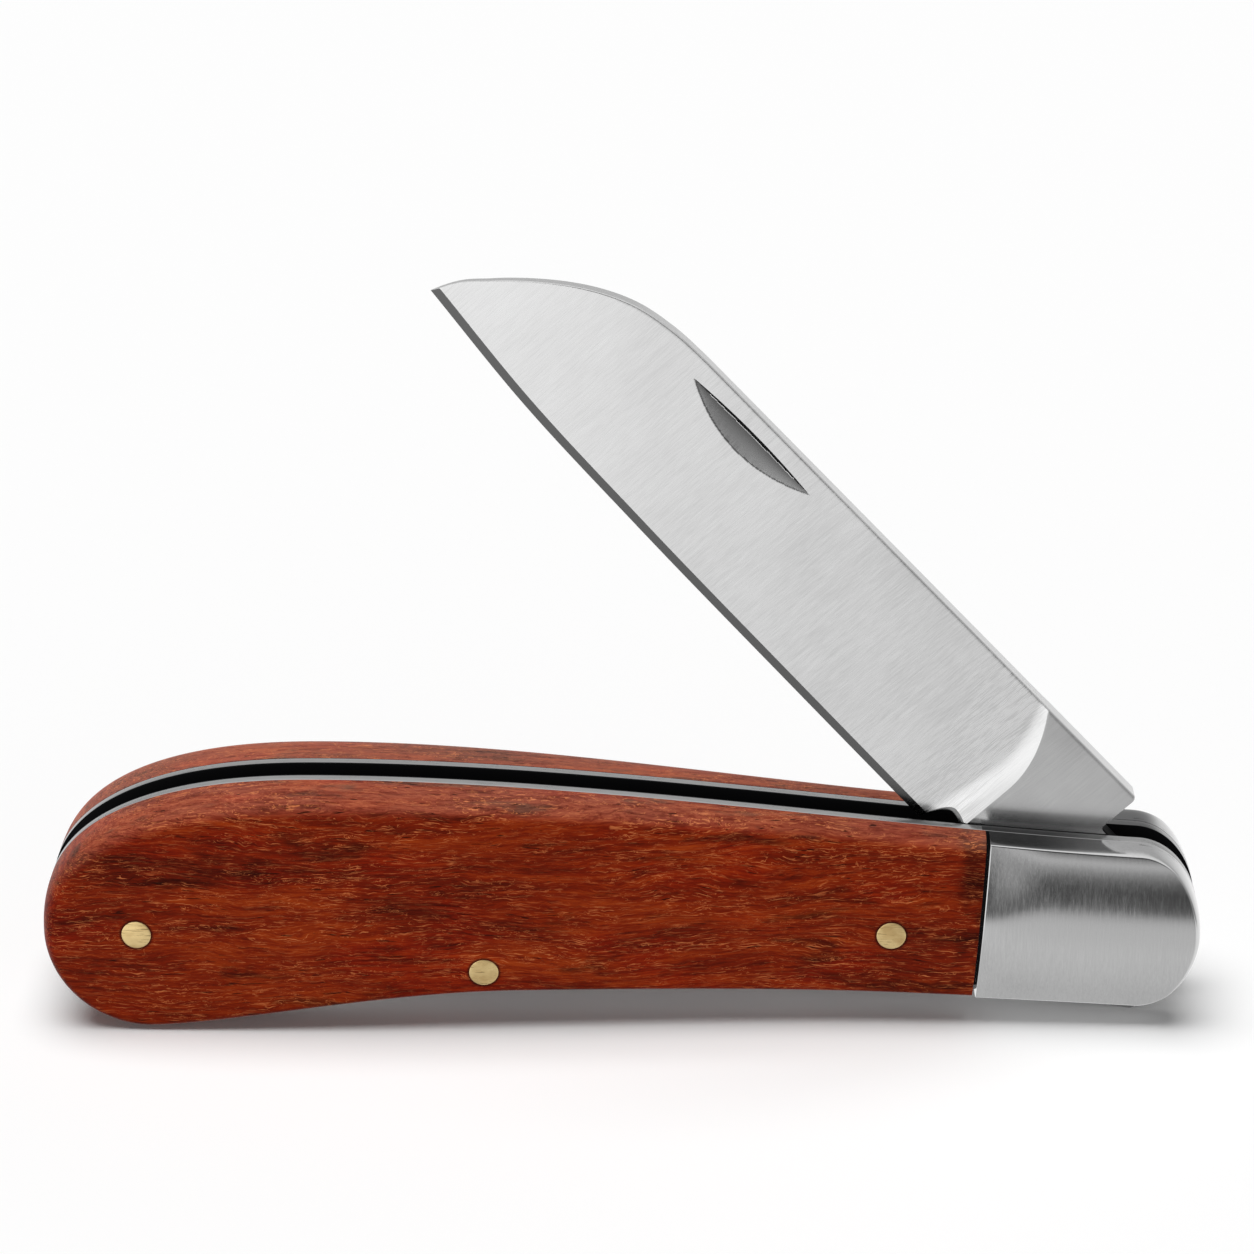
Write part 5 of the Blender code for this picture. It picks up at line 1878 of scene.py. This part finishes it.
@dataclass
class Studio:
    """Camera, white floor, soft overhead light and a plain surround with a dark side towards the camera.

    The tables right, front, left and rear give the grey that metal sees in each direction at a sine of the
    elevation. The joins give the X or Y of a direction over which one table passes into the next. The fill
    is what the other surfaces get at each Y, less the fade at each sine of the elevation.
    """

    target: Vector = field(default_factory=lambda: Vector((0.5 * MM, 0.0, 39.9 * MM)))
    distance: float = 400.0 * MM
    elevation: float = math.radians(22.1)
    azimuth: float = math.radians(1.2)
    focal_pixels: float = 4160.0
    frame_pixels: float = 1254.0
    sensor: float = 36.0
    near_clip: float = 10.0 * MM
    floor_reach: float = 3.0
    floor_colour: Colour = (0.95, 0.95, 0.95)
    floor_glow: float = 0.02
    sun_strength: float = 2.9
    sun_angle: float = math.radians(50.0)
    sun_travel: Vector = field(default_factory=lambda: Vector((0.13, 0.06, -1.0)))
    right: Stops = ((-0.34, 0.95), (-0.28, 0.34), (-0.12, 0.30), (0.35, 0.45), (0.62, 0.95))
    front: Stops = ((-0.78, 0.60), (-0.48, 0.69), (-0.424, 0.72), (-0.387, 0.11), (-0.24, 0.07),
                    (-0.12, 0.15), (-0.01, 0.33), (0.12, 0.62), (0.20, 0.35), (0.27, 0.03), (0.60, 0.03),
                    (0.78, 0.60), (0.92, 1.00))
    left: Stops = ((-0.80, 0.50), (-0.55, 0.74), (-0.45, 0.98), (-0.39, 1.20), (-0.30, 1.30), (0.30, 0.80),
                   (0.62, 0.90), (0.90, 1.00))
    rear: Stops = ((-0.30, 0.98), (0.00, 0.75), (0.35, 0.50), (0.50, 0.50), (0.65, 0.80), (0.90, 0.95))
    right_join: Stops = ((0.18, 0.0), (0.50, 1.0))
    left_join: Stops = ((-0.09, 0.0), (0.05, 1.0))
    rear_join: Stops = ((-0.25, 0.0), (0.20, 1.0))
    fill: Stops = ((-1.0, 1.20), (0.2, 0.56), (1.0, 0.28))
    fill_fade: Stops = ((0.0, 0.0), (0.55, 0.95))

    def camera(self) -> None:
        """Place the camera on the photograph's line of sight."""
        data = bpy.data.cameras.new("camera")
        data.sensor_width = self.sensor
        data.lens = self.sensor * self.focal_pixels / self.frame_pixels
        data.clip_start = self.near_clip
        camera = bpy.data.objects.new("camera", data)
        flat = math.cos(self.elevation)
        line = Vector((math.sin(self.azimuth) * flat, -math.cos(self.azimuth) * flat, math.sin(self.elevation)))
        camera.location = self.target + line * self.distance
        camera.rotation_euler = (-line).to_track_quat("-Z", "Y").to_euler()
        bpy.context.scene.collection.objects.link(camera)
        bpy.context.scene.camera = camera

    def floor(self) -> None:
        """Lay the white floor, which keeps the shadow and is a touch brighter to the camera."""
        reach = self.floor_reach
        corners = [(-reach, -reach, 0.0), (reach, -reach, 0.0), (reach, reach, 0.0), (-reach, reach, 0.0)]
        mesh = bpy.data.meshes.new("floor")
        mesh.from_pydata(corners, [], [(0, 1, 2, 3)])
        floor = bpy.data.objects.new("floor", mesh)
        bpy.context.scene.collection.objects.link(floor)
        floor.visible_glossy = False
        g = Surface("floor")
        g.set("Base Color", (*self.floor_colour, 1.0))
        g.set("Roughness", 1.0)
        g.set("Specular IOR Level", 0.0)
        glow, both = g.node("ShaderNodeEmission"), g.node("ShaderNodeAddShader")
        g.feed(glow.inputs["Strength"], g.times(g.ray("Camera"), self.floor_glow))
        g.feed(both.inputs[0], g.shader.outputs["BSDF"])
        g.feed(both.inputs[1], glow.outputs["Emission"])
        g.feed(g.output.inputs["Surface"], both.outputs["Shader"])
        mesh.materials.append(g.material)

    def lamp(self) -> None:
        """Hang one broad soft light overhead, a little in front of the knife and towards its butt."""
        data = bpy.data.lights.new("overhead", "SUN")
        data.energy = self.sun_strength
        data.angle = self.sun_angle
        lamp = bpy.data.objects.new("overhead", data)
        lamp.rotation_euler = self.sun_travel.to_track_quat("-Z", "Y").to_euler()
        lamp.visible_glossy = False
        bpy.context.scene.collection.objects.link(lamp)

    def world(self) -> None:
        """Make the surround: white to the camera, the tables' greys to metal, and the fill to the rest."""
        world = bpy.data.worlds.new("surround")
        world.cycles.sampling_method = "NONE"
        bpy.context.scene.world = world
        world.use_nodes = True
        g = Graph(world.node_tree)
        split = g.node("ShaderNodeSeparateXYZ")
        g.feed(split.inputs["Vector"], g.node("ShaderNodeTexCoord").outputs["Generated"])
        x, y, z = (g.maths("MULTIPLY_ADD", split.outputs[axis], 0.5, 0.5) for axis in "XYZ")

        def greys(share: Socket, stops: Stops) -> Socket:
            """Return a table's grey, with its places from -1 to 1 laid over shares from 0 to 1."""
            return g.ramp(share, [((place + 1.0) / 2.0, (grey, grey, grey)) for place, grey in stops])

        metal = g.mix(greys(x, self.right_join), greys(z, self.front), greys(z, self.right))
        metal = g.mix(greys(x, self.left_join), greys(z, self.left), metal)
        metal = g.mix(greys(y, self.rear_join), metal, greys(z, self.rear))
        seen = g.mix(greys(z, self.fill_fade), greys(y, self.fill), BLACK)
        for kind, colour in (("Glossy", metal), ("Transmission", WHITE), ("Camera", WHITE)):
            seen = g.mix(g.ray(kind), seen, colour)
        background = g.node("ShaderNodeBackground")
        g.feed(background.inputs["Color"], seen)
        g.feed(g.node("ShaderNodeOutputWorld").inputs["Surface"], background.outputs["Background"])

    def build(self) -> None:
        """Set up the studio and the plain view transform."""
        self.camera()
        self.floor()
        self.lamp()
        self.world()
        bpy.context.scene.view_settings.view_transform = "Standard"


def pin_place(node: str) -> Point:
    """Return a pin's axis as (x, z), the middle of its node's box."""
    low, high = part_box(node)
    return (low.x + high.x) / 2.0, (low.z + high.z) / 2.0


def dress(nodes: dict[str, bpy.types.Object], names: Sequence[str], finish: Finish) -> None:
    """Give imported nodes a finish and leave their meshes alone.

    Args:
        nodes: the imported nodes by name.
        names: which nodes to dress.
        finish: their finish.
    """
    for name in names:
        for slot in nodes[name].material_slots:
            slot.material = finish.material
        LOG.info("dressed %s", name)


def main() -> None:
    """Build the knife's pieces in order."""
    logging.basicConfig(level=logging.INFO, format="%(name)s: %(message)s")
    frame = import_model()
    joint = next(joint for joint in frame["joints"] if joint["child"] == Body.BLADE.value)
    pivot = Vector(joint["pos_m"])
    liner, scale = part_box("front_liner"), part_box("front_scale")
    form = HandleForm(butt_x=liner[0].x, nose_x=liner[1].x, crest_height=liner[1].z,
                      joint_x=liner[1].x - BOLSTER_LENGTH, inner=-scale[1].y)
    pins = [pin_place(name) for name in ("butt_pin", "centre_pin", "front_scale_pin")]
    rivets = [pin_place(f"front_{name}") for name in RIVETS]
    holes = [(x, z, PIN_HOLE) for x, z in pins] + [(x, z, RIVET_HOLE) for x, z in rivets]
    holes.append((pivot.x, pivot.z, PIN_HOLE))

    steels = KnifeSteels(form, pivot, -liner[0].y)
    spring_steel = steels.spring()
    scales = ScalePair(form, WoodFinish().build(pins, form.joint_x), mirrored=False)
    groups = (scales, BolsterPair(form, steels.bolster()), LinerPair(form, steels.liner(), holes),
              BackSpring(form, spring_steel, pivot, *pins[:2], holes[:2]),
              PinSet(form, scales, BrassFinish().build()), Blade(pivot, steels.blade()))
    for group in groups:
        for piece in group.build():
            LOG.info("%s: %d faces", piece.name, len(piece.data.polygons))
    dress(frame["nodes"], ["pivot_pin"] + [f"{side.word}_{name}" for side in Side for name in RIVETS],
          spring_steel)
    Studio().build()
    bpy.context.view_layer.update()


if __name__ == "__main__":
    main()
